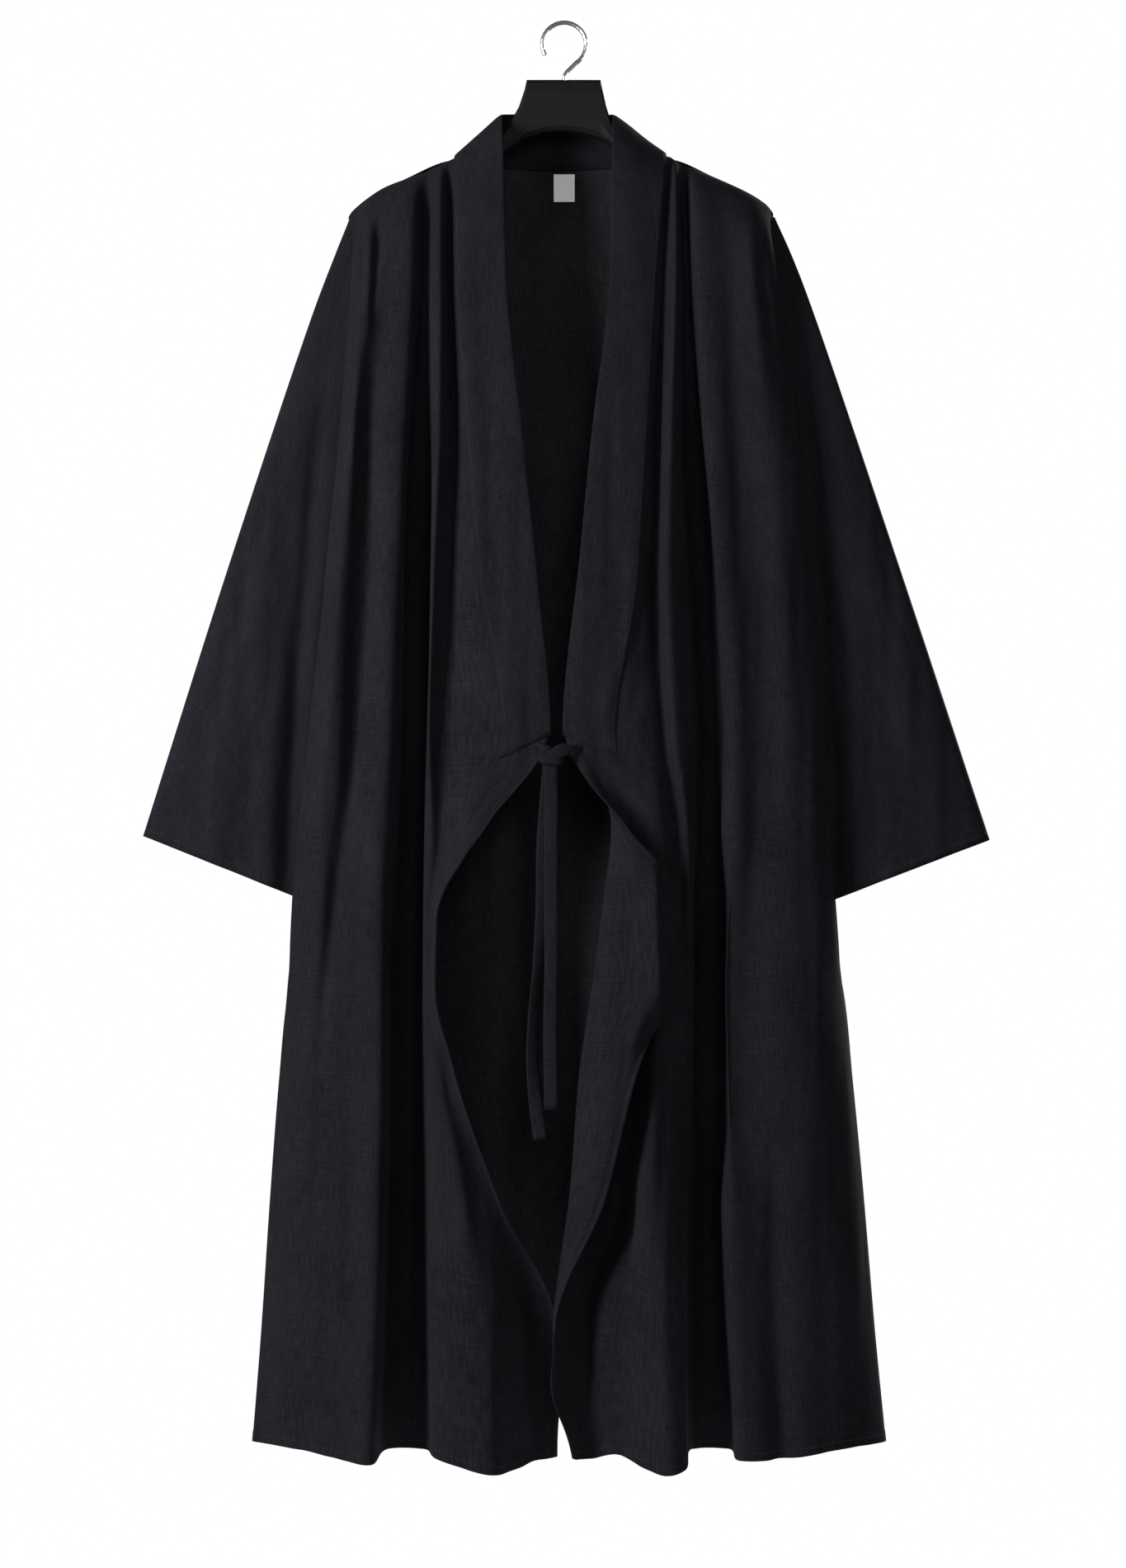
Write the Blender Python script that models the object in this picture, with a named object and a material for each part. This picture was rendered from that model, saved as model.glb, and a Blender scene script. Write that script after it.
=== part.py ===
"""A long open kimono robe on a plain hanger.

Millimetres in the tables, metres in the model. The origin is the crown of the hook, where a rail
carries it. +Z is up, the front faces -Y, and left and right are the viewer's.

Each cloth panel is a wall through sections. A section runs through the panel's folds, and each fold
is one row of a table: where it starts on the shoulder, where it ends at the hem, how far across it
lies and how far forward it stands at each level. Drops and distances across are given as they are
seen from VIEW_DISTANCE in the plane of the hanger, and seen_to_real moves them to their real depth.
"""
from collections import namedtuple
from math import cos, pi, radians, sin, sqrt

import bmesh
import bpy
import numpy as np

MM = 0.001
WALL = 1.2
BAND_WALL = 2.0
GAP = 0.3
VIEW_DISTANCE = 2200.0
EYE_DROP = 690.0
SHOULDER_ROUND = 42.0

# Drops below the rail at which the folds are set out, between the shoulder and the hem
LEVELS = (225, 367, 502, 645, 728, 810, 870, 960, 1065, 1185)
BODY_LENGTH = 1165.0
SHOULDER_ROWS = (0.0, 3.0, 9.0, 20.0, 40.0)
ROW_COUNT = 24
# More sections where the lapel starts to turn over
LAPEL_ROWS = (571.0, 582.0, 593.0, 605.0)
TIE_DROP = 648.0

ARMHOLE_TOP = 177.0
UNDERARM = 505.0
ARMHOLE_HALF = 6.0
ARMHOLE_LAP = 2.3

LABEL_SIZE = (19.0, 25.0, 1.0)
LABEL_DROP = 136.0
LABEL_CLEAR = 1.2
LABEL_ROWS = 4
TIE_WIDTH = 12.0
TIE_THICK = 1.5
HOOK_RADIUS = 18.0
WIRE_RADIUS = 2.0
# The stem bends aside below the circle, which runs through these degrees
HOOK_STEM = ((0.0, -47.0), (2.5, -43.0))
HOOK_TURN = range(-58, 215, 14)
NECK_TOP = 51.0

Fold = namedtuple("Fold", "name spans top hem across depth")

# The first value of across and depth is on the shoulder, the last at the hem. Depth is forward.
FRONT_LEFT = (
    Fold("edge", 4, 85, 1304, (-58, -55, -41, -27, -15, -70, -115, -116, -97, -61, -13, -6),
         (0, 36, 42, 46, 50, 58, 70, 73, 70, 60, 54, 50)),
    Fold("under_band", 4, 104, 1306, (-79, -77, -65, -52, -36, -80, -117, -118, -100, -65, -20, -13),
         (0, 34, 41, 46, 51, 58, 66, 69, 69, 61, 53, 48)),
    Fold("seam", 2, 121, 1307, (-99, -98, -88, -77, -56, -90, -119, -120, -103, -69, -28, -22),
         (0, 30, 38, 44, 50, 57, 62, 65, 69, 63, 54, 48)),
    Fold("inner_dip", 3, 124, 1309, (-105, -104, -101, -106, -112, -112, -121, -122, -107, -78, -42, -36),
         (0, 22, 25, 29, 38, 50, 58, 61, 69, 70, 64, 60)),
    Fold("ridge_in", 2, 128, 1315, (-113, -113, -114, -119, -123, -121, -124, -124, -113, -92, -69, -68),
         (0, 37, 45, 47, 49, 54, 54, 56, 70, 80, 88, 94)),
    Fold("ridge_out", 2, 130, 1304,
         (-118, -119, -121, -125, -128, -127, -128, -127, -122, -118, -117, -115),
         (0, 33, 38, 40, 42, 46, 46, 48, 60, 72, 80, 84)),
    Fold("trough_in", 2, 132, 1294,
         (-122, -123, -126, -129, -132, -132, -132, -132, -131, -130, -129, -128),
         (0, 20, 20, 20, 20, 20, 22, 23, 25, 27, 29, 31)),
    Fold("trough_out", 3, 134, 1294,
         (-126, -127, -131, -134, -140, -145, -150, -152, -153, -154, -155, -158),
         (0, 20, 20, 20, 20, 20, 21, 22, 24, 26, 28, 30)),
    Fold("panel_in", 2, 140, 1308, (-138, -140, -145, -153, -160, -164, -166, -166, -167, -169, -172, -178),
         (0, 35, 41, 47, 53, 57, 61, 64, 68, 73, 79, 83)),
    Fold("panel_dip", 2, 150, 1301,
         (-163, -170, -178, -188, -194, -195, -195, -195, -197, -199, -202, -206),
         (0, 31, 35, 39, 44, 50, 53, 55, 58, 62, 66, 69)),
    Fold("panel_out", 3, 161, 1291,
         (-180, -184, -193, -204, -216, -223, -225, -228, -232, -237, -243, -249),
         (0, 33, 40, 46, 52, 55, 56, 55, 54, 54, 54, 54)),
    Fold("side_fold", 3, 170, 1287,
         (-191, -193, -204, -217, -232, -241, -247, -250, -256, -264, -272, -280),
         (0, 16, 20, 24, 28, 28, 24, 16, 12, 12, 12, 12)),
    Fold("side_seam", 3, 176, 1286,
         (-196, -185, -184, -186, -189, -191, -199, -249, -259, -267, -275, -283),
         (0,) * 12),
)

FRONT_RIGHT = (
    Fold("edge", 2, 85, 1303, (46, 44, 28, 15, 1, 58, 108, 94, 64, 38, 2, 6),
         (0, 36, 42, 46, 50, 72, 60, 60, 84, 88, 74, 62)),
    Fold("lapel", 2, 94, 1304, (58, 54, 40, 28, 13, 51, 81, 78, 44, 25, 0, 7),
         (0, 35, 42, 46, 51, 66, 84, 88, 88, 88, 72, 60)),
    Fold("lapel_fold", 2, 103, 1304, (69, 65, 52, 41, 24, 43, 34, 26, 13, 5, -3, 9),
         (0, 33, 41, 46, 51, 57, 66, 68, 68, 68, 62, 57)),
    Fold("under_lapel", 2, 112, 1303, (81, 75, 64, 55, 36, 55, 58, 54, 42, 30, 14, 22),
         (0, 31, 40, 45, 51, 50, 44, 40, 36, 34, 36, 42)),
    Fold("seam", 2, 119, 1300, (92, 84, 75, 67, 47, 70, 84, 85, 82, 66, 38, 46),
         (0, 29, 38, 44, 50, 53, 50, 50, 66, 78, 62, 52)),
    Fold("cascade", 2, 120, 1315, (94, 88, 80, 76, 72, 87, 94, 95, 94, 91, 88, 92),
         (0, 27, 33, 38, 46, 51, 50, 50, 60, 76, 92, 98)),
    Fold("inner_dip", 2, 121, 1311, (97, 92, 86, 85, 92, 101, 105, 106, 104, 104, 106, 108),
         (0, 24, 27, 30, 34, 40, 44, 46, 52, 66, 82, 90)),
    Fold("ridge", 2, 124, 1296, (101, 101, 97, 94, 101, 112, 115, 115, 114, 113, 112, 112),
         (0, 37, 45, 48, 48, 48, 46, 44, 43, 44, 46, 50)),
    Fold("trough_in", 2, 127, 1294, (106, 109, 114, 122, 132, 127, 124, 124, 124, 125, 123, 120),
         (0, 20, 20, 20, 22, 22, 22, 22, 22, 24, 26, 29)),
    Fold("trough_out", 3, 129, 1294, (110, 113, 118, 129, 139, 135, 133, 133, 134, 139, 144, 150),
         (0, 20, 20, 20, 21, 21, 21, 21, 22, 24, 26, 29)),
    Fold("panel_in", 2, 132, 1305, (117, 121, 130, 141, 151, 148, 145, 143, 145, 149, 155, 161),
         (0, 35, 43, 49, 55, 57, 59, 61, 63, 67, 73, 79)),
    Fold("panel_dip", 2, 142, 1304, (139, 147, 157, 169, 181, 181, 179, 179, 182, 187, 193, 197),
         (0, 33, 38, 44, 50, 52, 54, 55, 57, 61, 66, 70)),
    Fold("panel_out", 3, 156, 1293, (169, 176, 188, 203, 218, 223, 226, 228, 233, 240, 248, 256),
         (0, 33, 41, 45, 50, 52, 52, 50, 50, 50, 50, 50)),
    Fold("side_fold", 3, 165, 1287, (183, 193, 210, 226, 237, 241, 245, 248, 257, 267, 277, 288),
         (0, 16, 22, 26, 28, 28, 24, 16, 12, 12, 12, 12)),
    Fold("side_seam", 3, 173, 1286, (190, 184, 189, 193, 196, 198, 204, 250, 260, 270, 280, 291),
         (0,) * 12),
)

# The back's own folds, from left to right. Their depth is backward.
BACK = (
    Fold("left_panel", 2, 158, 1290,
         (-174, -178, -185, -196, -207, -212, -214, -217, -221, -226, -231, -236),
         (0, 31, 37, 43, 48, 50, 52, 52, 54, 57, 60, 62)),
    Fold("left_dip", 2, 141, 1280, (-142, -145, -149, -155, -161, -163, -164, -165, -166, -168, -170, -172),
         (0, 25, 27, 29, 30, 31, 32, 32, 32, 33, 34, 36)),
    Fold("left_ridge", 3, 124, 1282,
         (-104, -107, -110, -114, -118, -119, -119, -119, -119, -120, -121, -122),
         (1, 31, 37, 43, 51, 55, 58, 60, 64, 70, 76, 81)),
    Fold("left_hollow", 3, 130.8, 1266, (-60, -60, -60, -60, -60, -60, -61, -61, -62, -62, -63, -64),
         (25, 33, 35, 37, 38, 38, 38, 38, 38, 39, 40, 42)),
    Fold("centre", 3, 131.8, 1258, (0, 0, -1, -2, -3, -4, -4, -4, -4, -4, -4, -4),
         (30, 40, 46, 52, 58, 61, 63, 65, 69, 75, 81, 86)),
    Fold("right_hollow", 3, 130.8, 1266, (57, 57, 57, 56, 55, 55, 55, 55, 56, 57, 58, 59),
         (25, 33, 34, 36, 37, 37, 37, 37, 37, 38, 39, 41)),
    Fold("right_ridge", 3, 123, 1283, (98, 102, 107, 112, 118, 120, 121, 122, 124, 126, 128, 130),
         (1, 31, 36, 42, 49, 53, 56, 58, 63, 69, 76, 82)),
    Fold("right_dip", 2, 140, 1281, (135, 140, 147, 155, 163, 166, 168, 169, 171, 174, 178, 182),
         (0, 25, 27, 29, 31, 32, 32, 33, 34, 35, 36, 38)),
    Fold("right_panel", 3, 154, 1290, (164, 172, 184, 198, 210, 214, 216, 218, 223, 229, 236, 242),
         (0, 31, 37, 43, 47, 49, 50, 51, 53, 56, 59, 61)),
)

# Outer edge from the shoulder to the cuff, under edge from the underarm to the cuff
Sleeve = namedtuple("Sleeve", "outer under inset")
SLEEVES = {
    "sleeve_left": Sleeve(((-195, 177), (-209, 212), (-227, 262), (-305, 499), (-381, 737)),
                          ((-198, 500), (-221, 802)), 9.0),
    "sleeve_right": Sleeve(((191, 175.2), (206, 211), (223, 258), (304, 499), (385, 740)),
                           ((204, 500), (220, 805)), -9.0),
}
# Along the sleeve: share of its length, half of its thickness, how far back its middle lies
SLEEVE_BODY = ((0.0, 6.0, 0.0), (0.12, 8.0, 1.0), (0.4, 14.0, 2.0), (0.75, 19.0, 2.0), (1.0, 22.0, 2.0))
SLEEVE_RINGS = 14
SLEEVE_SIDES = 24
# Rings lie closer together at the armhole, and the head's hollow fades out along the sleeve
RING_CLOSENESS = 1.25
HEAD_FADE = 4
# How pointed a section is at its outer edge, and how much more at its under edge
OVAL_POINT = (0.7, 0.8)

# Collar band: it covers the fronts' columns up to the seam, and bows down and back round the neck
BAND_COLUMNS = 9
BAND_LAP = 3.0
BAND_LIFT = 0.5
NeckLine = namedtuple("NeckLine", "sag back")
NECK_SEAM = NeckLine(3.6, 30.0)
NECK_EDGE = NeckLine(-7.0, 22.0)
NECK_STATIONS = 12

# Ties, as points chosen by hand: across, drop, forward
TIE_LEFT_ROUTE = ((-25, 650, 56), (-19, 653, 59), (-15, 659, 59), (-14, 668, 58), (-15, 690, 56),
                  (-19, 740, 54), (-20, 800, 54), (-23, 850, 54), (-28, 905, 54), (-29, 945, 54),
                  (-26, 980, 54), (-22, 1013, 54))
TIE_RIGHT_ROUTE = ((12, 654, 56.3), (4, 654, 61.5), (-5, 656, 65), (-11, 661, 65), (-12, 670, 64),
                   (-12, 690, 61), (-12, 740, 59), (-12, 800, 59), (-12, 860, 59), (-13, 920, 59),
                   (-12, 986, 59))
# Knot: a turn of cloth round both ties, with its middle, the half size of its hollow and its height
KNOT_MIDDLE = (-12.6, 670.0, 60.5)
KNOT_HALF = (9.6, 7.6)
KNOT_HEIGHT = 10.0
KNOT_SIDES = 16
KNOT_ROUND = 0.6
# Along the knot: share of its height from the middle, and how far it swells there
KNOT_SWELL = ((-0.5, 0.0), (-0.2, 0.8), (0.2, 0.8), (0.5, 0.0))

# Hanger from left to right: across, top and bottom drop, half thickness, and how round its section
# is, from 0.5, nearly square, to 1, an ellipse
HangerSection = namedtuple("HangerSection", "across top bottom half round")
HANGER = (
    HangerSection(-183, 173, 182, 6.0, 1.0), HangerSection(-176, 167, 184, 9.0, 1.0),
    HangerSection(-145, 150, 171, 10.0, 1.0), HangerSection(-105, 134, 155, 10.0, 1.0),
    HangerSection(-90, 127, 148, 10.0, 1.0), HangerSection(-75, 118, 138, 10.0, 0.9),
    HangerSection(-66, 109, 130, 10.0, 0.8), HangerSection(-57, 99, 121, 9.5, 0.7),
    HangerSection(-48, 88, 114, 9.0, 0.6), HangerSection(-41, 75, 109, 9.0, 0.5),
    HangerSection(-36, 60, 105, 9.0, 0.5), HangerSection(-34, NECK_TOP, 104, 9.0, 0.5),
    HangerSection(-17, NECK_TOP, 98.5, 9.0, 0.5), HangerSection(0, NECK_TOP, 97, 9.0, 0.5),
    HangerSection(17, NECK_TOP, 99, 9.0, 0.5), HangerSection(33, NECK_TOP, 104, 9.0, 0.5),
    HangerSection(35, 60, 105, 9.0, 0.5), HangerSection(38, 74, 107, 9.0, 0.5),
    HangerSection(42, 87, 110, 9.0, 0.6), HangerSection(51, 98, 118, 9.5, 0.7),
    HangerSection(62, 107, 128, 10.0, 0.8), HangerSection(75, 119, 139, 10.0, 0.9),
    HangerSection(90, 128, 149, 10.0, 1.0), HangerSection(105, 135, 156, 10.0, 1.0),
    HangerSection(145, 151, 172, 10.0, 1.0), HangerSection(174, 167, 184, 9.0, 1.0),
    HangerSection(181, 173, 182, 6.0, 1.0),
)
HANGER_SIDES = 12


def material(name, colour, roughness):
    """A plain material with the piece's own colour."""
    made = bpy.data.materials.new(name)
    made.use_nodes = True
    shader = made.node_tree.nodes["Principled BSDF"]
    shader.inputs["Base Color"].default_value = (*colour, 1.0)
    shader.inputs["Roughness"].default_value = roughness
    shader.inputs["Metallic"].default_value = 0.0
    return made


def seen_to_real(across, drop, forward):
    """Real point, in metres, of something seen at this place in the plane of the hanger."""
    scale = (VIEW_DISTANCE - forward) / VIEW_DISTANCE
    real_drop = EYE_DROP + (drop - EYE_DROP) * scale
    return np.array((across * scale, -forward, -real_drop)) * MM


def smooth_value(places, values, place):
    """Value of a curve through the table that never overshoots its own values."""
    places = np.asarray(places, float)
    values = np.asarray(values, float)
    steps = np.diff(places)
    rises = np.diff(values) / steps
    slopes = np.zeros(len(places))
    slopes[0], slopes[-1] = rises[0], rises[-1]
    for k in range(1, len(places) - 1):
        if rises[k - 1] * rises[k] > 0:
            slopes[k] = 2.0 * rises[k - 1] * rises[k] / (rises[k - 1] + rises[k])
    place = min(max(place, places[0]), places[-1])
    k = min(int(np.searchsorted(places, place, side="right")) - 1, len(steps) - 1)
    t = (place - places[k]) / steps[k]
    start = (1 + 2 * t) * (1 - t) ** 2 * values[k] + t * (1 - t) ** 2 * steps[k] * slopes[k]
    end = t * t * (3 - 2 * t) * values[k + 1] + t * t * (t - 1) * steps[k] * slopes[k + 1]
    return start + end


def blend(first, last, start, end, t):
    """Point between two others at t, where t runs from start to end."""
    return ((end - t) * first + (t - start) * last) / (end - start)


def spline(points, spans):
    """Points on a rounded curve through the given ones, with spans[k] steps after the k-th."""
    points = np.asarray(points, float)
    ends = np.vstack((2 * points[0] - points[1], points, 2 * points[-1] - points[-2]))
    curve = []
    for k in range(1, len(ends) - 2):
        p = ends[k - 1:k + 3]
        gaps = np.maximum(np.linalg.norm(np.diff(p, axis=0), axis=1), 1e-6) ** 0.5
        knot = np.concatenate(((0.0,), np.cumsum(gaps)))
        for n in range(spans[k - 1]):
            t = knot[1] + (knot[2] - knot[1]) * n / spans[k - 1]
            near = [blend(p[i], p[i + 1], knot[i], knot[i + 1], t) for i in range(3)]
            wide = [blend(near[i], near[i + 1], knot[i], knot[i + 2], t) for i in range(2)]
            curve.append(blend(wide[0], wide[1], knot[1], knot[2], t))
    curve.append(points[-1])
    return np.array(curve)


def flat_oval(share):
    """Half width of a sleeve's section from its outer edge, 0, to its thinner under edge, 1."""
    return (2.0 * sqrt(share * (1.0 - share))) ** (OVAL_POINT[0] + OVAL_POINT[1] * share)


def armhole_half(drop):
    """Half of the armhole's width at a drop, none above the shoulder or below the underarm."""
    share = (drop - ARMHOLE_TOP) / (UNDERARM - ARMHOLE_TOP)
    return ARMHOLE_HALF * flat_oval(share) if 0.0 < share < 1.0 else 0.0


def row_shares(extra=()):
    """Shares of the panel's length at which its sections lie, close together over the shoulder."""
    below = np.linspace(SHOULDER_ROWS[-1], BODY_LENGTH, ROW_COUNT)[1:]
    return np.sort(np.concatenate((SHOULDER_ROWS, below, extra))) / BODY_LENGTH


def fold_point(fold, share):
    """Place of a fold, as seen, at a share of the panel's length."""
    drop = fold.top + (fold.hem - fold.top) * share
    places = (fold.top, *LEVELS, fold.hem)
    across = smooth_value(places, fold.across, drop)
    depth = smooth_value(places[1:], fold.depth[1:], drop)
    rise = min((drop - fold.top) / SHOULDER_ROUND, 1.0)
    depth = fold.depth[0] + (depth - fold.depth[0]) * sqrt(1.0 - (1.0 - rise) ** 2)
    if fold.name == "side_seam":
        depth = armhole_half(drop) + (ARMHOLE_LAP if ARMHOLE_TOP < drop < UNDERARM else GAP)
    return np.array((across, drop, depth))


def panel_grid(folds, facing, shares):
    """Middle surface of a panel: a row for each section, a column for each sample between folds."""
    rows = []
    for share in shares:
        section = spline([fold_point(fold, share) for fold in folds], [fold.spans for fold in folds])
        section[:, 2] = np.maximum(section[:, 2], GAP)
        rows.append([seen_to_real(across, drop, facing * depth) for across, drop, depth in section])
    return np.array(rows)


def grid_normals(grid, closed=False):
    """Unit normals of a grid of points, rows first."""
    if closed:
        ring = np.concatenate((grid[:, -1:], grid, grid[:, :1]), axis=1)
        along = ring[:, 2:] - ring[:, :-2]
    else:
        along = np.gradient(grid, axis=1)
    down = np.gradient(grid, axis=0)
    normals = np.cross(along, down)
    return normals / np.maximum(np.linalg.norm(normals, axis=2, keepdims=True), 1e-12)


def add_object(name, points, faces, look):
    """One closed body from its points and faces, turned so that its faces look out."""
    mesh = bpy.data.meshes.new(name)
    mesh.from_pydata([tuple(point) for point in points], [], faces)
    body = bmesh.new()
    body.from_mesh(mesh)
    bmesh.ops.recalc_face_normals(body, faces=body.faces)
    body.to_mesh(mesh)
    body.free()
    mesh.materials.append(look)
    mesh.shade_smooth()
    made = bpy.data.objects.new(name, mesh)
    bpy.context.scene.collection.objects.link(made)
    return made


def wall(name, outer, inner, look, closed=False):
    """A cloth wall between two grids of points, joined round its free edges."""
    rows, columns = outer.shape[:2]
    points = np.concatenate((outer.reshape(-1, 3), inner.reshape(-1, 3)))
    half = rows * columns
    spans = columns if closed else columns - 1
    faces = []
    for r in range(rows - 1):
        for c in range(spans):
            corner = (r * columns + c, r * columns + (c + 1) % columns,
                      (r + 1) * columns + (c + 1) % columns, (r + 1) * columns + c)
            faces.append(corner)
            faces.append(tuple(half + k for k in reversed(corner)))
    for r in (0, rows - 1):
        for c in range(spans):
            a, b = r * columns + c, r * columns + (c + 1) % columns
            faces.append((a, b, half + b, half + a))
    if not closed:
        for c in (0, columns - 1):
            for r in range(rows - 1):
                a, b = r * columns + c, (r + 1) * columns + c
                faces.append((a, b, half + b, half + a))
    return add_object(name, points, faces, look)


def cloth(name, grid, thickness, look, closed=False):
    """A wall of even thickness on both sides of its middle surface."""
    shift = grid_normals(grid, closed) * thickness * MM / 2
    return wall(name, grid + shift, grid - shift, look, closed)


def panel(name, grid, facing, look):
    """A front or back: a wall that ends half a gap before the plane of the seams."""
    shift = grid_normals(grid) * WALL * MM / 2
    faces = [grid + shift, grid - shift]
    for face in faces:
        face[..., 1] = -facing * np.maximum(-facing * face[..., 1], GAP * MM / 2)
    return wall(name, *faces, look)


def back_folds():
    """The back's folds with the fronts' own side folds and side seams at its two ends."""
    left = FRONT_LEFT[:-3:-1]
    right = FRONT_RIGHT[-2:]
    return (*left, *BACK, *right)


def band_rows(grid, last_row):
    """Lower and upper points of the collar band where it lies on a front, from the shoulder down."""
    normals = grid_normals(grid)
    normals *= np.sign(-normals[last_row // 2, 0, 1])
    inner_edge = grid[:last_row, 0]
    lap = inner_edge - grid[:last_row, 1]
    lap *= BAND_LAP * MM / np.linalg.norm(lap, axis=1, keepdims=True)
    strip = np.concatenate(((inner_edge + lap)[:, None], grid[:last_row, :BAND_COLUMNS]), axis=1)
    lift = np.concatenate((normals[:last_row, :1], normals[:last_row, :BAND_COLUMNS]), axis=1)
    low = strip + lift * (WALL / 2 + BAND_LIFT) * MM
    high = strip + lift * (WALL / 2 + BAND_LIFT + BAND_WALL) * MM
    return low, high


def neck_rows(start, end):
    """Band round the back neck, between its rows on the two shoulders."""
    upper = np.linspace(1.0, 0.0, len(start[0]))[:, None]
    sag = upper * NECK_EDGE.sag + (1 - upper) * NECK_SEAM.sag
    back = upper * NECK_EDGE.back + (1 - upper) * NECK_SEAM.back
    bow = np.hstack((0 * sag, back, -sag)) * MM
    thick = np.array((0.0, BAND_WALL * MM, 0.0))
    low, high = [], []
    for n in range(1, NECK_STATIONS):
        turn = pi * n / NECK_STATIONS
        share = (1 - cos(turn)) / 2
        low.append(blend(start[0], end[0], 0.0, 1.0, share) + bow * sin(turn))
        high.append(blend(start[1], end[1], 0.0, 1.0, share) + (bow + thick) * sin(turn))
    return np.array(low), np.array(high)


def collar_band(left_grid, right_grid, look):
    """One strip from the left tie, over both shoulders and round the back neck, to the right tie."""
    edge = FRONT_LEFT[0]
    drops = edge.top + (edge.hem - edge.top) * row_shares()
    last_row = int(np.argmin(abs(drops - TIE_DROP))) + 1
    left_low, left_high = band_rows(left_grid, last_row)
    right_low, right_high = band_rows(right_grid, last_row)
    neck_low, neck_high = neck_rows((left_low[0], left_high[0]), (right_low[0], right_high[0]))
    low = np.concatenate((left_low[::-1], neck_low, right_low))
    high = np.concatenate((left_high[::-1], neck_high, right_high))
    return wall("collar_band", high, low, look)


def sleeve(name, cut, look):
    """A flattened tube from the armhole to the cuff."""
    outer = spline([(a, d, 0) for a, d in cut.outer], [8] * len(cut.outer))
    lengths = np.concatenate(((0.0,), np.cumsum(np.linalg.norm(np.diff(outer, axis=0), axis=1))))
    lengths /= lengths[-1]
    shares, halves, backs = zip(*SLEEVE_BODY)
    rings = []
    for n in range(SLEEVE_RINGS + 1):
        share = (n / SLEEVE_RINGS) ** RING_CLOSENESS
        top = np.array([np.interp(share, lengths, outer[:, k]) for k in (0, 1)])
        under = np.array(cut.under[0]) + (np.array(cut.under[1]) - np.array(cut.under[0])) * share
        half = smooth_value(shares, halves, share)
        back = smooth_value(shares, backs, share)
        ring = []
        for k in range(SLEEVE_SIDES):
            turn = 2 * pi * k / SLEEVE_SIDES
            low = (1 - cos(turn)) / 2
            across, drop = top + (under - top) * low
            across += cut.inset * (1 - share) ** HEAD_FADE * sin(pi * low)
            depth = half * np.sign(sin(turn)) * flat_oval(low) - back
            ring.append(seen_to_real(across, drop, depth))
        rings.append(ring)
    return cloth(name, np.array(rings), WALL, look, closed=True)


def strip(name, route, look):
    """A flat tie along a smooth curve through its route, its face to the front."""
    path = np.array([seen_to_real(*point) for point in spline(route, [3] * len(route))])
    along = np.gradient(path, axis=0)
    along /= np.linalg.norm(along, axis=1, keepdims=True)
    side = np.cross(along, (0.0, 1.0, 0.0))
    side /= np.linalg.norm(side, axis=1, keepdims=True)
    face = np.cross(side, along)
    grid = np.stack((path - side * TIE_WIDTH * MM / 2, path + side * TIE_WIDTH * MM / 2), axis=1)
    shift = face[:, None] * TIE_THICK * MM / 2
    return wall(name, grid + shift, grid - shift, look)


def hanger(look):
    """A broad hanger whose sections follow the shoulders, with a raised neck in its middle."""
    rings = []
    for section in HANGER:
        middle = (section.top + section.bottom) / 2
        half_height = (section.bottom - section.top) / 2
        ring = []
        for k in range(HANGER_SIDES):
            turn = 2 * pi * (k + 0.5) / HANGER_SIDES
            depth = section.half * np.sign(cos(turn)) * abs(cos(turn)) ** section.round
            height = half_height * np.sign(sin(turn)) * abs(sin(turn)) ** section.round
            ring.append(np.array((section.across, -depth, height - middle)) * MM)
        rings.append(ring)
    rings = np.array(rings)
    points = rings.reshape(-1, 3)
    faces = [tuple(range(HANGER_SIDES)), tuple(range(len(points) - HANGER_SIDES, len(points)))]
    for r in range(len(rings) - 1):
        for k in range(HANGER_SIDES):
            n = (k + 1) % HANGER_SIDES
            faces.append((r * HANGER_SIDES + k, r * HANGER_SIDES + n,
                          (r + 1) * HANGER_SIDES + n, (r + 1) * HANGER_SIDES + k))
    return add_object("hanger", points, faces, look)


def hook(look):
    """A bent wire: a stem out of the hanger's neck, then most of a circle over the rail."""
    ring = HOOK_RADIUS + WIRE_RADIUS
    middle = -HOOK_RADIUS
    route = [(0.0, -NECK_TOP + GAP), *HOOK_STEM]
    for angle in HOOK_TURN:
        route.append((ring * cos(radians(angle)), middle + ring * sin(radians(angle))))
    curve = bpy.data.curves.new("hook", "CURVE")
    curve.dimensions = "3D"
    curve.bevel_depth = WIRE_RADIUS * MM
    curve.bevel_resolution = 2
    curve.use_fill_caps = True
    path = curve.splines.new("POLY")
    path.points.add(len(route) - 1)
    for point, (across, height) in zip(path.points, route):
        point.co = (across * MM, 0.0, height * MM, 1.0)
    curve.materials.append(look)
    made = bpy.data.objects.new("hook", curve)
    bpy.context.scene.collection.objects.link(made)
    return made


def label(look):
    """A small tab that hangs from the neck seam, just inside the back."""
    width, height, thick = LABEL_SIZE
    folds = back_folds()
    centre = next(fold for fold in folds if fold.name == "centre")
    rows = []
    for n in range(LABEL_ROWS):
        drop = LABEL_DROP + height * n / (LABEL_ROWS - 1)
        depth = fold_point(centre, (drop - centre.top) / (centre.hem - centre.top))[2]
        inside = depth - WALL / 2 - thick / 2 - LABEL_CLEAR
        rows.append([seen_to_real(across, drop, -inside) for across in (-width / 2, width / 2)])
    return cloth("label", np.array(rows), thick, look)


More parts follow.
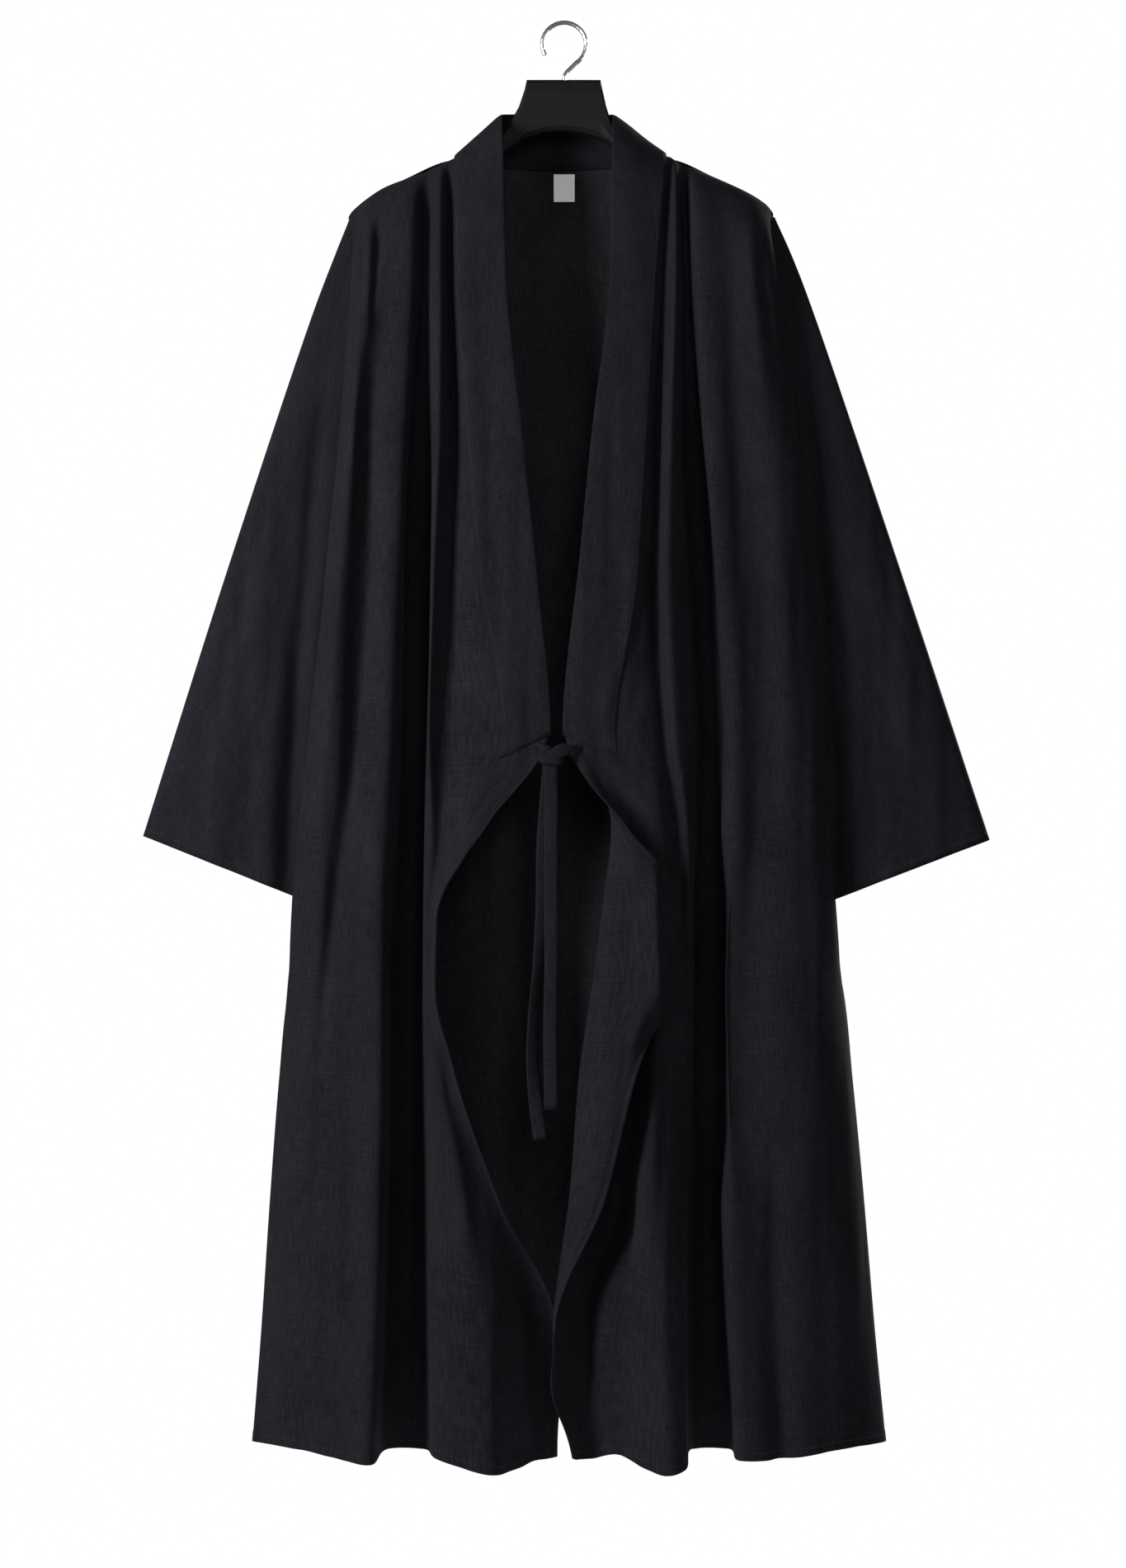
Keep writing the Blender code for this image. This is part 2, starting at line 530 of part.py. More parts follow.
def tie_knot(look):
    """The turn of one tie round the other, a short flattened tube that swells in the middle."""
    across, drop, forward = KNOT_MIDDLE
    rings = []
    for step, swell in KNOT_SWELL:
        ring = []
        for k in range(KNOT_SIDES):
            turn = 2 * pi * k / KNOT_SIDES
            side = np.sign(cos(turn)) * abs(cos(turn)) ** KNOT_ROUND * (KNOT_HALF[0] + swell)
            front = np.sign(sin(turn)) * abs(sin(turn)) ** KNOT_ROUND * (KNOT_HALF[1] + swell)
            ring.append(seen_to_real(across + side, drop + step * KNOT_HEIGHT, forward + front))
        rings.append(ring)
    return cloth("tie_knot", np.array(rings), TIE_THICK, look, closed=True)


def build():
    for old in list(bpy.data.objects):
        bpy.data.objects.remove(old)
    dark = material("cloth", (0.012, 0.012, 0.018), 0.9)
    black = material("hanger_black", (0.01, 0.01, 0.011), 0.45)
    metal = material("hook_metal", (0.35, 0.35, 0.36), 0.35)
    white = material("label_white", (0.8, 0.8, 0.78), 0.8)

    shares = row_shares()
    left_grid = panel_grid(FRONT_LEFT, 1, shares)
    right_grid = panel_grid(FRONT_RIGHT, 1, row_shares(LAPEL_ROWS))
    panel("front_left", left_grid, 1, dark)
    panel("front_right", right_grid, 1, dark)
    panel("back", panel_grid(back_folds(), -1, shares), -1, dark)
    for name, cut in SLEEVES.items():
        sleeve(name, cut, dark)
    collar_band(left_grid, right_grid, dark)
    strip("tie_left", TIE_LEFT_ROUTE, dark)
    strip("tie_right", TIE_RIGHT_ROUTE, dark)
    tie_knot(dark)
    label(white)
    hanger(black)
    hook(metal)


build()
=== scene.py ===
# %% [markdown]
# # A long open kimono robe on its hanger
#
# The robe hangs flat from a broad black hanger, open down the front, with its two ties knotted once at
# the waist. The solids give its size, its walls and its large folds. This lesson dresses them: every
# panel becomes a thin sheet of cloth on the same folds, cut finer, with its smaller creases, its hems
# and its sewing. Left and right are the viewer's, lengths in the tables are millimetres, and the
# finished pieces are in metres in the frame of the solids.

# %% load the solids
from collections import namedtuple
from math import atan2, cos, pi, radians, sin, sqrt

import bpy
import numpy as np
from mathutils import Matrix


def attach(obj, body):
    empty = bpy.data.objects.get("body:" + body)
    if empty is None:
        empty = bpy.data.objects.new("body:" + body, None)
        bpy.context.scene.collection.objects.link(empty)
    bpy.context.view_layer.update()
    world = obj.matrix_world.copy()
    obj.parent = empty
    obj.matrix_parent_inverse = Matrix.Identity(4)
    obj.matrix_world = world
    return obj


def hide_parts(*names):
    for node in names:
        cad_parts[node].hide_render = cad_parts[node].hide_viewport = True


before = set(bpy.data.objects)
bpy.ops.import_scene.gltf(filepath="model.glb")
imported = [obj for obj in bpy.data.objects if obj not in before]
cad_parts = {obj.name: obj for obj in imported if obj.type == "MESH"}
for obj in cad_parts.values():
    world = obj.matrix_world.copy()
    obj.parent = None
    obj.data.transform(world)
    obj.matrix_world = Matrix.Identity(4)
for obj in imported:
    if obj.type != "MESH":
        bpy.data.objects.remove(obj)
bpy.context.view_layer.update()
print("solids:", ", ".join(sorted(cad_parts)))

# %% [markdown]
# ## The camera
#
# The photograph was taken from straight in front at about waist height. The frame is 1365 by 1900
# pixels of 0.75 mm in the plane of the hanger, so the lens follows from the distance. The folds' tables
# use the same eye, which is why they can be read off the photograph.

# %% camera
MM = 0.001
VIEW_DISTANCE = 2200.0
EYE_DROP = 690.0
EYE_ACROSS = -1.1
IMAGE_WIDE, IMAGE_HIGH, PIXEL = 1365, 1900, 0.75
SENSOR = 36.0

eye = bpy.data.cameras.new("camera")
eye.sensor_fit = "VERTICAL"
eye.sensor_height = SENSOR
eye.lens = SENSOR * VIEW_DISTANCE / (IMAGE_HIGH * PIXEL)
camera = bpy.data.objects.new("camera", eye)
camera.location = (EYE_ACROSS * MM, -VIEW_DISTANCE * MM, -EYE_DROP * MM)
camera.rotation_euler = (radians(90), 0.0, 0.0)
bpy.context.scene.collection.objects.link(camera)
bpy.context.scene.camera = camera
print("lens", round(eye.lens, 1), "mm for a frame", IMAGE_WIDE, "by", IMAGE_HIGH)

# %% [markdown]
# ## The folds
#
# A panel of cloth that hangs is a family of sections, each one a wavy line through the same folds. A fold
# is one row of a table: where it starts on the shoulder, where it ends at the hem, how far across it lies
# and how far forward it stands at ten levels between. A simulation would fold the cloth somewhere else,
# so the folds are set out where the photograph has them.

# %% tables of the folds
GAP = 0.3
SHOULDER_ROUND = 42.0
LEVELS = (225, 367, 502, 645, 728, 810, 870, 960, 1065, 1185)
BODY_LENGTH = 1165.0
TIE_DROP = 648.0
ARMHOLE_TOP = 177.0
UNDERARM = 505.0
ARMHOLE_HALF = 6.0
ARMHOLE_LAP = 2.3

Fold = namedtuple("Fold", "name spans top hem across depth")

# The first value of across and depth is on the shoulder, the last at the hem. Depth is forward.
FRONT_LEFT = (
    Fold("edge", 4, 85, 1304, (-58, -55, -41, -27, -15, -70, -115, -116, -97, -61, -9, -9),
         (0, 36, 42, 46, 50, 58, 70, 73, 70, 60, 54, 50)),
    Fold("under_band", 4, 104, 1306, (-79, -77, -65, -52, -36, -80, -117, -118, -100, -65, -16, -16),
         (0, 34, 41, 46, 51, 58, 66, 69, 69, 61, 53, 48)),
    Fold("seam", 2, 121, 1307, (-99, -98, -88, -77, -56, -90, -119, -120, -103, -69, -25, -25),
         (0, 30, 38, 44, 50, 57, 62, 65, 69, 63, 54, 48)),
    Fold("inner_dip", 3, 124, 1312, (-105, -104, -101, -106, -112, -112, -121, -122, -107, -78, -41, -39),
         (0, 22, 25, 29, 38, 50, 58, 61, 69, 70, 64, 60)),
    Fold("ridge_in", 2, 128, 1318, (-113, -113, -114, -119, -123, -121, -124, -124, -113, -92, -69, -68),
         (0, 37, 45, 47, 49, 54, 54, 56, 70, 80, 88, 94)),
    Fold("ridge_out", 2, 130, 1304, (-118, -119, -121, -125, -128, -127, -128, -127, -122, -118, -117, -115),
         (0, 33, 38, 40, 42, 46, 46, 48, 60, 72, 80, 84)),
    Fold("trough_in", 2, 132, 1294, (-122, -123, -126, -129, -132, -132, -132, -132, -131, -130, -129, -128),
         (0, 20, 20, 20, 20, 20, 22, 23, 25, 27, 29, 31)),
    Fold("trough_out", 3, 134, 1294, (-126, -127, -131, -134, -140, -145, -150, -152, -153, -154, -155, -158),
         (0, 20, 20, 20, 20, 20, 21, 22, 24, 26, 28, 30)),
    Fold("panel_in", 2, 138.5, 1309, (-138, -140, -145, -153, -160, -164, -166, -166, -167, -169, -172, -178),
         (0, 35, 41, 47, 53, 57, 61, 64, 68, 73, 79, 83)),
    Fold("panel_dip", 2, 148, 1303, (-163, -170, -178, -188, -194, -195, -195, -195, -197, -199, -202, -206),
         (0, 31, 35, 39, 44, 50, 53, 55, 58, 62, 66, 69)),
    Fold("panel_out", 3, 159, 1293, (-180, -184, -193, -204, -216, -223, -225, -228, -232, -237, -243, -249),
         (0, 33, 40, 46, 52, 55, 56, 55, 54, 54, 54, 54)),
    Fold("side_fold", 3, 168.5, 1288,
         (-191, -193, -204, -217, -232, -241, -247, -250, -256, -264, -272, -280),
         (0, 16, 20, 24, 28, 28, 24, 16, 12, 12, 12, 12)),
    Fold("side_seam", 3, 175, 1287, (-196, -185, -184, -186, -189, -191, -199, -249, -259, -267, -275, -283),
         (0,) * 12),
)

FRONT_RIGHT = (
    Fold("edge", 2, 85, 1303, (46, 44, 28, 15, 1, 58, 108, 94, 64, 38, -7, 10),
         (0, 36, 42, 46, 50, 72, 57, 58, 84, 88, 74, 62)),
    Fold("lapel", 2, 94, 1304, (58, 54, 40, 28, 13, 51, 81, 82, 46, 25, -8, 11),
         (0, 35, 42, 46, 51, 66, 84, 88, 88, 88, 72, 60)),
    Fold("lapel_fold", 2, 103, 1304, (69, 65, 52, 41, 24, 43, 34, 26, 13, 5, -9, 13),
         (0, 33, 41, 46, 51, 57, 66, 68, 68, 68, 62, 57)),
    Fold("under_lapel", 2, 112, 1303, (81, 75, 64, 55, 36, 55, 60, 61, 62, 46, 18, 25),
         (0, 31, 40, 45, 51, 50, 42, 36, 30, 28, 34, 42)),
    Fold("seam", 2, 119, 1300, (92, 84, 75, 67, 47, 70, 84, 85, 82, 66, 38, 46),
         (0, 29, 38, 44, 50, 53, 50, 50, 66, 78, 62, 52)),
    Fold("cascade", 2, 120, 1319, (94, 88, 80, 76, 72, 87, 94, 95, 94, 91, 88, 92),
         (0, 27, 33, 38, 46, 51, 50, 50, 60, 76, 92, 98)),
    Fold("inner_dip", 2, 121, 1314, (97, 92, 86, 85, 92, 101, 105, 106, 104, 104, 106, 108),
         (0, 24, 27, 30, 34, 40, 44, 46, 52, 66, 82, 90)),
    Fold("ridge", 2, 124, 1296, (101, 101, 97, 94, 101, 112, 115, 115, 114, 113, 112, 112),
         (0, 37, 45, 48, 48, 48, 46, 44, 43, 44, 46, 50)),
    Fold("trough_in", 2, 127, 1294, (106, 109, 114, 122, 132, 127, 124, 124, 124, 125, 123, 120),
         (0, 20, 20, 20, 22, 22, 22, 22, 22, 24, 26, 29)),
    Fold("trough_out", 3, 129, 1294, (110, 113, 118, 129, 139, 135, 133, 133, 134, 139, 144, 150),
         (0, 20, 20, 20, 21, 21, 21, 21, 22, 24, 26, 29)),
    Fold("panel_in", 2, 131, 1305, (117, 121, 130, 141, 151, 148, 145, 143, 145, 149, 155, 161),
         (0, 35, 43, 49, 55, 57, 59, 61, 63, 67, 73, 79)),
    Fold("panel_dip", 2, 140, 1304, (139, 147, 157, 169, 181, 181, 179, 179, 182, 187, 193, 197),
         (0, 33, 38, 44, 50, 52, 54, 55, 57, 61, 66, 70)),
    Fold("panel_out", 3, 154, 1294, (169, 176, 188, 203, 218, 223, 226, 228, 233, 240, 248, 256),
         (0, 33, 41, 45, 50, 52, 52, 50, 50, 50, 50, 50)),
    Fold("side_fold", 3, 163.5, 1288, (183, 193, 210, 226, 237, 241, 246, 250, 259, 269, 279, 289),
         (0, 16, 22, 26, 28, 28, 24, 16, 12, 12, 12, 12)),
    Fold("side_seam", 3, 172, 1287, (190, 184, 189, 193, 196, 198, 204, 252, 262, 272, 282, 292),
         (0,) * 12),
)

# The back's own folds, from left to right. Their depth is backward.
BACK = (
    Fold("left_panel", 2, 156, 1290, (-174, -178, -185, -196, -207, -212, -214, -217, -221, -226, -231, -236),
         (0, 31, 37, 43, 48, 50, 52, 52, 54, 57, 60, 62)),
    Fold("left_dip", 2, 139.5, 1280, (-142, -145, -149, -155, -161, -163, -164, -165, -166, -168, -170, -172),
         (0, 25, 27, 29, 30, 31, 32, 32, 32, 33, 34, 36)),
    Fold("left_ridge", 3, 124, 1282, (-104, -107, -110, -114, -118, -119, -119, -119, -119, -120, -121, -122),
         (1, 31, 37, 43, 51, 55, 58, 60, 64, 70, 76, 81)),
    Fold("left_hollow", 3, 130.8, 1266, (-60, -60, -60, -60, -60, -60, -61, -61, -62, -62, -63, -64),
         (25, 33, 35, 37, 38, 38, 38, 38, 38, 39, 40, 42)),
    Fold("centre", 3, 131.8, 1258, (0, 0, -1, -2, -3, -4, -4, -4, -4, -4, -4, -4),
         (30, 40, 46, 52, 58, 61, 63, 65, 69, 75, 81, 86)),
    Fold("right_hollow", 3, 130.8, 1266, (57, 57, 57, 56, 55, 55, 55, 55, 56, 57, 58, 59),
         (25, 33, 34, 36, 37, 37, 37, 37, 37, 38, 39, 41)),
    Fold("right_ridge", 3, 123, 1283, (98, 102, 107, 112, 118, 120, 121, 122, 124, 126, 128, 130),
         (1, 31, 36, 42, 49, 53, 56, 58, 63, 69, 76, 82)),
    Fold("right_dip", 2, 138.5, 1281, (135, 140, 147, 155, 163, 166, 168, 169, 171, 174, 178, 182),
         (0, 25, 27, 29, 31, 32, 32, 33, 34, 35, 36, 38)),
    Fold("right_panel", 3, 152, 1290, (164, 172, 184, 198, 210, 214, 216, 218, 223, 229, 236, 242),
         (0, 31, 37, 43, 47, 49, 50, 51, 53, 56, 59, 61)),
)

print("folds:", len(FRONT_LEFT), "left,", len(FRONT_RIGHT), "right,", len(BACK), "back")

# %% [markdown]
# ## From a table to a grid
#
# A few small tools turn a table into a grid of points. One reads a value between the levels without
# overshooting, one rounds a section through its folds, and one moves a point from where it is seen to its
# real depth. The grid is five times finer across than the solids, so that small creases have points to
# bend. Its rows lie close together over the shoulder and at the hem, where the cloth turns.

# %% tools for grids
FINE = 5
ROW_STEP = 6.0
SHOULDER_SPAN, SHOULDER_ROWS = 40.0, 14
HEM_SPAN, HEM_ROWS, HEM_CLEAR = 14.5, 11, 16.0
OVAL_OUTER, OVAL_THINNER = 0.7, 0.8
CLOSEST, TINY = 1e-6, 1e-12


def step_lengths(points, axis=0):
    """Lengths of the steps between neighbouring points."""
    return np.linalg.norm(np.diff(points, axis=axis), axis=-1)


def running(steps):
    """Length from the start up to each point, from the steps between them."""
    return np.concatenate(((0.0,), np.cumsum(steps)))


def unit(vectors):
    """Vectors of length one."""
    return vectors / np.maximum(np.linalg.norm(vectors, axis=-1, keepdims=True), TINY)


def seen_to_real(points):
    """Real points, in metres, of points seen at (across, drop) that stand forward of the hanger."""
    points = np.asarray(points, float)
    scale = (VIEW_DISTANCE - points[..., 2]) / VIEW_DISTANCE
    drop = EYE_DROP + (points[..., 1] - EYE_DROP) * scale
    return np.stack((points[..., 0] * scale, -points[..., 2], -drop), axis=-1) * MM


def smooth_value(places, values, place):
    """Value of a curve through the table that never overshoots its own values."""
    places = np.asarray(places, float)
    values = np.asarray(values, float)
    steps = np.diff(places)
    rises = np.diff(values) / steps
    slopes = np.zeros(len(places))
    slopes[0], slopes[-1] = rises[0], rises[-1]
    for k in range(1, len(places) - 1):
        if rises[k - 1] * rises[k] > 0:
            slopes[k] = 2.0 * rises[k - 1] * rises[k] / (rises[k - 1] + rises[k])
    place = min(max(place, places[0]), places[-1])
    k = min(int(np.searchsorted(places, place, side="right")) - 1, len(steps) - 1)
    t = (place - places[k]) / steps[k]
    start = (1 + 2 * t) * (1 - t) ** 2 * values[k] + t * (1 - t) ** 2 * steps[k] * slopes[k]
    end = t * t * (3 - 2 * t) * values[k + 1] + t * t * (t - 1) * steps[k] * slopes[k + 1]
    return start + end


def blend(first, last, start, end, t):
    """Point between two others at t, where t runs from start to end."""
    return ((end - t) * first + (t - start) * last) / (end - start)


def spline(points, spans):
    """Points on a rounded curve through the given ones, with spans[k] steps after the k-th."""
    points = np.asarray(points, float)
    ends = np.vstack((2 * points[0] - points[1], points, 2 * points[-1] - points[-2]))
    curve = []
    for k in range(1, len(ends) - 2):
        p = ends[k - 1:k + 3]
        knot = running(np.maximum(step_lengths(p), CLOSEST) ** 0.5)
        t = (knot[1] + (knot[2] - knot[1]) * np.arange(spans[k - 1]) / spans[k - 1])[:, None]
        near = [blend(p[i], p[i + 1], knot[i], knot[i + 1], t) for i in range(3)]
        wide = [blend(near[i], near[i + 1], knot[i], knot[i + 2], t) for i in range(2)]
        curve.append(blend(wide[0], wide[1], knot[1], knot[2], t))
    curve.append(points[-1:])
    return np.vstack(curve)


def flat_oval(share):
    """Half width of a sleeve's section from its outer edge, 0, to its thinner under edge, 1."""
    return (2.0 * sqrt(max(share * (1.0 - share), 0.0))) ** (OVAL_OUTER + OVAL_THINNER * share)


def armhole_half(drop):
    """Half of the armhole's width at a drop, none above the shoulder or below the underarm."""
    share = (drop - ARMHOLE_TOP) / (UNDERARM - ARMHOLE_TOP)
    return ARMHOLE_HALF * flat_oval(share) if 0.0 < share < 1.0 else 0.0


def fold_point(fold, share):
    """Place of a fold, as seen, at a share of the panel's length."""
    drop = fold.top + (fold.hem - fold.top) * share
    places = (fold.top, *LEVELS, fold.hem)
    across = smooth_value(places, fold.across, drop)
    depth = smooth_value(places[1:], fold.depth[1:], drop)
    rise = min((drop - fold.top) / SHOULDER_ROUND, 1.0)
    depth = fold.depth[0] + (depth - fold.depth[0]) * sqrt(1.0 - (1.0 - rise) ** 2)
    if fold.name == "side_seam":
        depth = armhole_half(drop) + (ARMHOLE_LAP if ARMHOLE_TOP < drop < UNDERARM else GAP)
    return np.array((across, drop, depth))


def row_shares():
    """Shares of the panel's length at which its sections lie, close together over the shoulder."""
    over = SHOULDER_SPAN * np.linspace(0.0, 1.0, SHOULDER_ROWS) ** 2
    last = BODY_LENGTH - HEM_CLEAR
    below = np.linspace(SHOULDER_SPAN, last, int((last - SHOULDER_SPAN) / ROW_STEP))[1:]
    hem = BODY_LENGTH - np.linspace(HEM_SPAN, 0.0, HEM_ROWS)
    return np.concatenate((over, below, hem)) / BODY_LENGTH


def seen_grid(folds):
    """A panel's points as seen: a row for each section, a column for each sample between folds."""
    spans = [fold.spans * FINE for fold in folds]
    return np.array([spline([fold_point(fold, share) for fold in folds], spans) for share in row_shares()])


def grid_normals(grid, closed=False):
    """Unit normals of a grid of points, rows first."""
    if closed:
        ring = np.concatenate((grid[:, -1:], grid, grid[:, :1]), axis=1)
        along = ring[:, 2:] - ring[:, :-2]
    else:
        along = np.gradient(grid, axis=1)
    down = np.gradient(grid, axis=0)
    return unit(np.cross(along, down))


print("rows in a panel:", len(row_shares()))

# %% [markdown]
# ## The cloth
#
# The cloth is a nearly black plain weave with uneven threads, a little blue. Both threads are streaks of
# noise that follow the cut of the panel, because each sheet carries a map of its own flat lengths in
# metres. They lighten the colour a little and raise the surface by less than a tenth of a millimetre.
# A weak sheen gives the pale line that cloth shows along an edge. A second, paler pair of tones is painted
# light on the inside of the back, making it lighter than so deep a shade would be.

# %% cloth material
CLOTH_DARK = (0.0052, 0.0050, 0.0066, 1.0)
CLOTH_LIGHT = (0.0125, 0.0121, 0.0155, 1.0)
# Paler tones for the inside of the back: painted light that lifts its deep shade
INSIDE_PAINTED_LIGHT_DARK = (0.0096, 0.0098, 0.0116, 1.0)
INSIDE_PAINTED_LIGHT_PALE = (0.0240, 0.0244, 0.0285, 1.0)
WARP_SCALE, WEFT_SCALE = (1100.0, 55.0, 1.0), (55.0, 1100.0, 1.0)
WARP_SHARE, WEFT_SHARE = 0.55, 0.45
PATCH_SCALE, PATCH_SHARE = (22.0, 9.0, 1.0), 0.35
TONE_START, TONE_END = 0.34, 0.68


def new_finish(name):
    """A new material, its node tree and its shader."""
    made = bpy.data.materials.new(name)
    made.use_nodes = True
    return made, made.node_tree, made.node_tree.nodes["Principled BSDF"]


def settle(shader, values):
    """Constants on a shader's own sockets."""
    for socket, value in values.items():
        shader.inputs[socket].default_value = value


def raise_grain(tree, shader, height, strength, distance):
    """A height on a shader's surface."""
    bump = tree.nodes.new("ShaderNodeBump")
    settle(bump, {"Strength": strength, "Distance": distance})
    tree.links.new(height, bump.inputs["Height"])
    tree.links.new(bump.outputs["Normal"], shader.inputs["Normal"])


def noise(tree, vector, scale, detail):
    """A noise texture on a stretched copy of a coordinate."""
    stretch = tree.nodes.new("ShaderNodeMapping")
    stretch.inputs["Scale"].default_value = scale
    tree.links.new(vector, stretch.inputs["Vector"])
    made = tree.nodes.new("ShaderNodeTexNoise")
    made.inputs["Scale"].default_value = 1.0
    made.inputs["Detail"].default_value = detail
    tree.links.new(stretch.outputs["Vector"], made.inputs["Vector"])
    return made.outputs["Fac"]


def math(tree, operation, *values):
    """A math node on sockets or plain numbers."""
    made = tree.nodes.new("ShaderNodeMath")
    made.operation = operation
    for socket, value in zip(made.inputs, values):
        if isinstance(value, (int, float)):
            socket.default_value = value
        else:
            tree.links.new(value, socket)
    return made.outputs["Value"]


def cloth_material(name, dark, light):
    """Slubby plain weave between two tones, on the sheet's own map."""
    made, tree, shader = new_finish(name)
    place = tree.nodes.new("ShaderNodeUVMap")
    place.uv_map = "cut"
    warp = noise(tree, place.outputs["UV"], WARP_SCALE, 2.0)
    weft = noise(tree, place.outputs["UV"], WEFT_SCALE, 2.0)
    weave = math(tree, "ADD", math(tree, "MULTIPLY", warp, WARP_SHARE),
                 math(tree, "MULTIPLY", weft, WEFT_SHARE))
    patch = noise(tree, place.outputs["UV"], PATCH_SCALE, 3.0)
    uneven = math(tree, "MULTIPLY", math(tree, "SUBTRACT", patch, 0.5), PATCH_SHARE)
    ramp_node = tree.nodes.new("ShaderNodeValToRGB")
    start, end = ramp_node.color_ramp.elements
    start.position, start.color = TONE_START, dark
    end.position, end.color = TONE_END, light
    tree.links.new(math(tree, "ADD", weave, uneven), ramp_node.inputs["Fac"])
    tree.links.new(ramp_node.outputs["Color"], shader.inputs["Base Color"])
    raise_grain(tree, shader, weave, 0.35, 0.0004)
    settle(shader, {"Roughness": 0.92, "Specular IOR Level": 0.02, "Sheen Weight": 0.015,
                    "Sheen Roughness": 0.45, "Sheen Tint": (0.62, 0.62, 0.72, 1.0)})
    return made


cloth = cloth_material("kimono_cloth", CLOTH_DARK, CLOTH_LIGHT)
# Painted light: this paler cloth lifts the shade on the inside of the back
cloth_painted_light = cloth_material("kimono_cloth_painted_light", INSIDE_PAINTED_LIGHT_DARK, INSIDE_PAINTED_LIGHT_PALE)
print("materials:", cloth.name, cloth_painted_light.name)

# %% [markdown]
# ## Sheets
#
# A sheet is two copies of its grid, a little apart, joined round its free edges. The map of its cut is
# the length along its rows and columns, measured on its middle grid, so the weave keeps its size
# everywhere.

# %% tools for sheets
SHEET = 0.9


def finished(name, points, faces, look, cut=None):
    """A mesh object at the origin, smooth, with the map of its cut if it has one."""
    mesh = bpy.data.meshes.new(name)
    mesh.from_pydata(points.tolist(), [], faces)
    if cut is not None:
        corner = np.zeros(len(mesh.loops), dtype=np.int32)
        mesh.loops.foreach_get("vertex_index", corner)
        mesh.uv_layers.new(name="cut").data.foreach_set("uv", cut[corner].ravel().astype(np.float32))
    mesh.materials.append(look)
    mesh.shade_smooth()
    mesh.update()
    made = bpy.data.objects.new(name, mesh)
    bpy.context.scene.collection.objects.link(made)
    return made


def cut_map(grid):
    """Lengths along the rows and down the columns of a grid, in metres."""
    u = running(step_lengths(grid, 1).mean(axis=0))
    v = running(step_lengths(grid, 0).mean(axis=1))
    return np.stack(np.meshgrid(u, v), axis=-1).reshape(-1, 2)


def shell(name, outer, inner, look, closed=False):
    """A closed thin body between two grids of points."""
    rows, columns = outer.shape[:2]
    points = np.concatenate((outer.reshape(-1, 3), inner.reshape(-1, 3)))
    half = rows * columns
    spans = columns if closed else columns - 1
    faces = []
    for r in range(rows - 1):
        for c in range(spans):
            n = (c + 1) % columns
            corner = (r * columns + c, (r + 1) * columns + c, (r + 1) * columns + n, r * columns + n)
            faces.append(corner)
            faces.append(tuple(half + k for k in reversed(corner)))
    rims = [(r * columns + c, r * columns + (c + 1) % columns, r)
            for r in (0, rows - 1) for c in range(spans)]
    if not closed:
        rims += [((r + 1) * columns + c, r * columns + c, c)
                 for c in (0, columns - 1) for r in range(rows - 1)]
    for a, b, side in rims:
        faces.append((a, b, half + b, half + a) if side == 0 else (b, a, half + a, half + b))
    flat = cut_map((outer + inner) / 2)
    return finished(name, points, faces, look, np.concatenate((flat, flat)))


def sewn_sheet(made, node):
    """A sheet that stands for a solid, rides with it and hides the solid."""
    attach(made, "root")
    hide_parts(node)


print("tools for sheets ready, thickness", SHEET, "mm")

# %% [markdown]
# ## The ties
#
# Two narrow sewn strips come out from under the ends of the collar band, pass once round each other and
# hang straight down. A strip is swept along its route: points chosen where the photograph shows
# the tie, rounded into one line. The one behind turns on edge a little above its end, so its face is
# rotated there by a short table.

# %% ties
# Ties, as listed points: across, drop, forward
TIE_LEFT_ROUTE = ((-25, 653, 56), (-20, 657, 58.5), (-16, 662, 59), (-14, 669, 58), (-15, 690, 56),
                  (-19, 740, 54), (-20, 800, 54), (-23, 850, 54), (-28, 905, 54), (-29, 945, 54),
                  (-26, 980, 54), (-22, 1013, 54))
TIE_RIGHT_ROUTE = ((12, 656, 56.6), (4, 658, 61.5), (-5, 661, 64.5), (-10, 665, 65), (-12, 671, 64),
                   (-12, 690, 61), (-12, 740, 59), (-12, 800, 59), (-12, 860, 59), (-13, 920, 59),
                   (-12, 986, 59))
# Knot: a turn of cloth round both ties, with its middle, the half size of its hollow and its height
KNOT_MIDDLE = (-12.0, 668.5, 60.5)
KNOT_HALF = (9.6, 7.6)
KNOT_HEIGHT = 10.0
KNOT_RINGS, KNOT_ROUND = 13, 48
KNOT_SQUARE = 0.6
KNOT_FOLD, KNOT_FOLDS = 0.25, 6
KNOT_SHARE = 0.7
KNOT_SLANT = 1.2
TIE_WIDTH = 12.0
TIE_THICK = 1.3
TIE_STEPS, TIE_COLUMNS = 9, 9
TIE_EDGE = 0.75
TIE_HOLLOW = 0.35
# Share of the length, then share of the width or degrees of twist
TIE_GATHER = ((0.0, 0.5), (0.04, 0.34), (0.075, 0.42), (0.13, 1.0), (1.0, 1.0))
TIE_LEFT_TWIST = ((0.0, 0.0), (0.5, 8.0), (0.68, 38.0), (0.82, 30.0), (0.93, 8.0), (1.0, 0.0))
TIE_RIGHT_TWIST = ((0.0, 0.0), (0.35, -6.0), (0.7, 7.0), (1.0, -4.0))


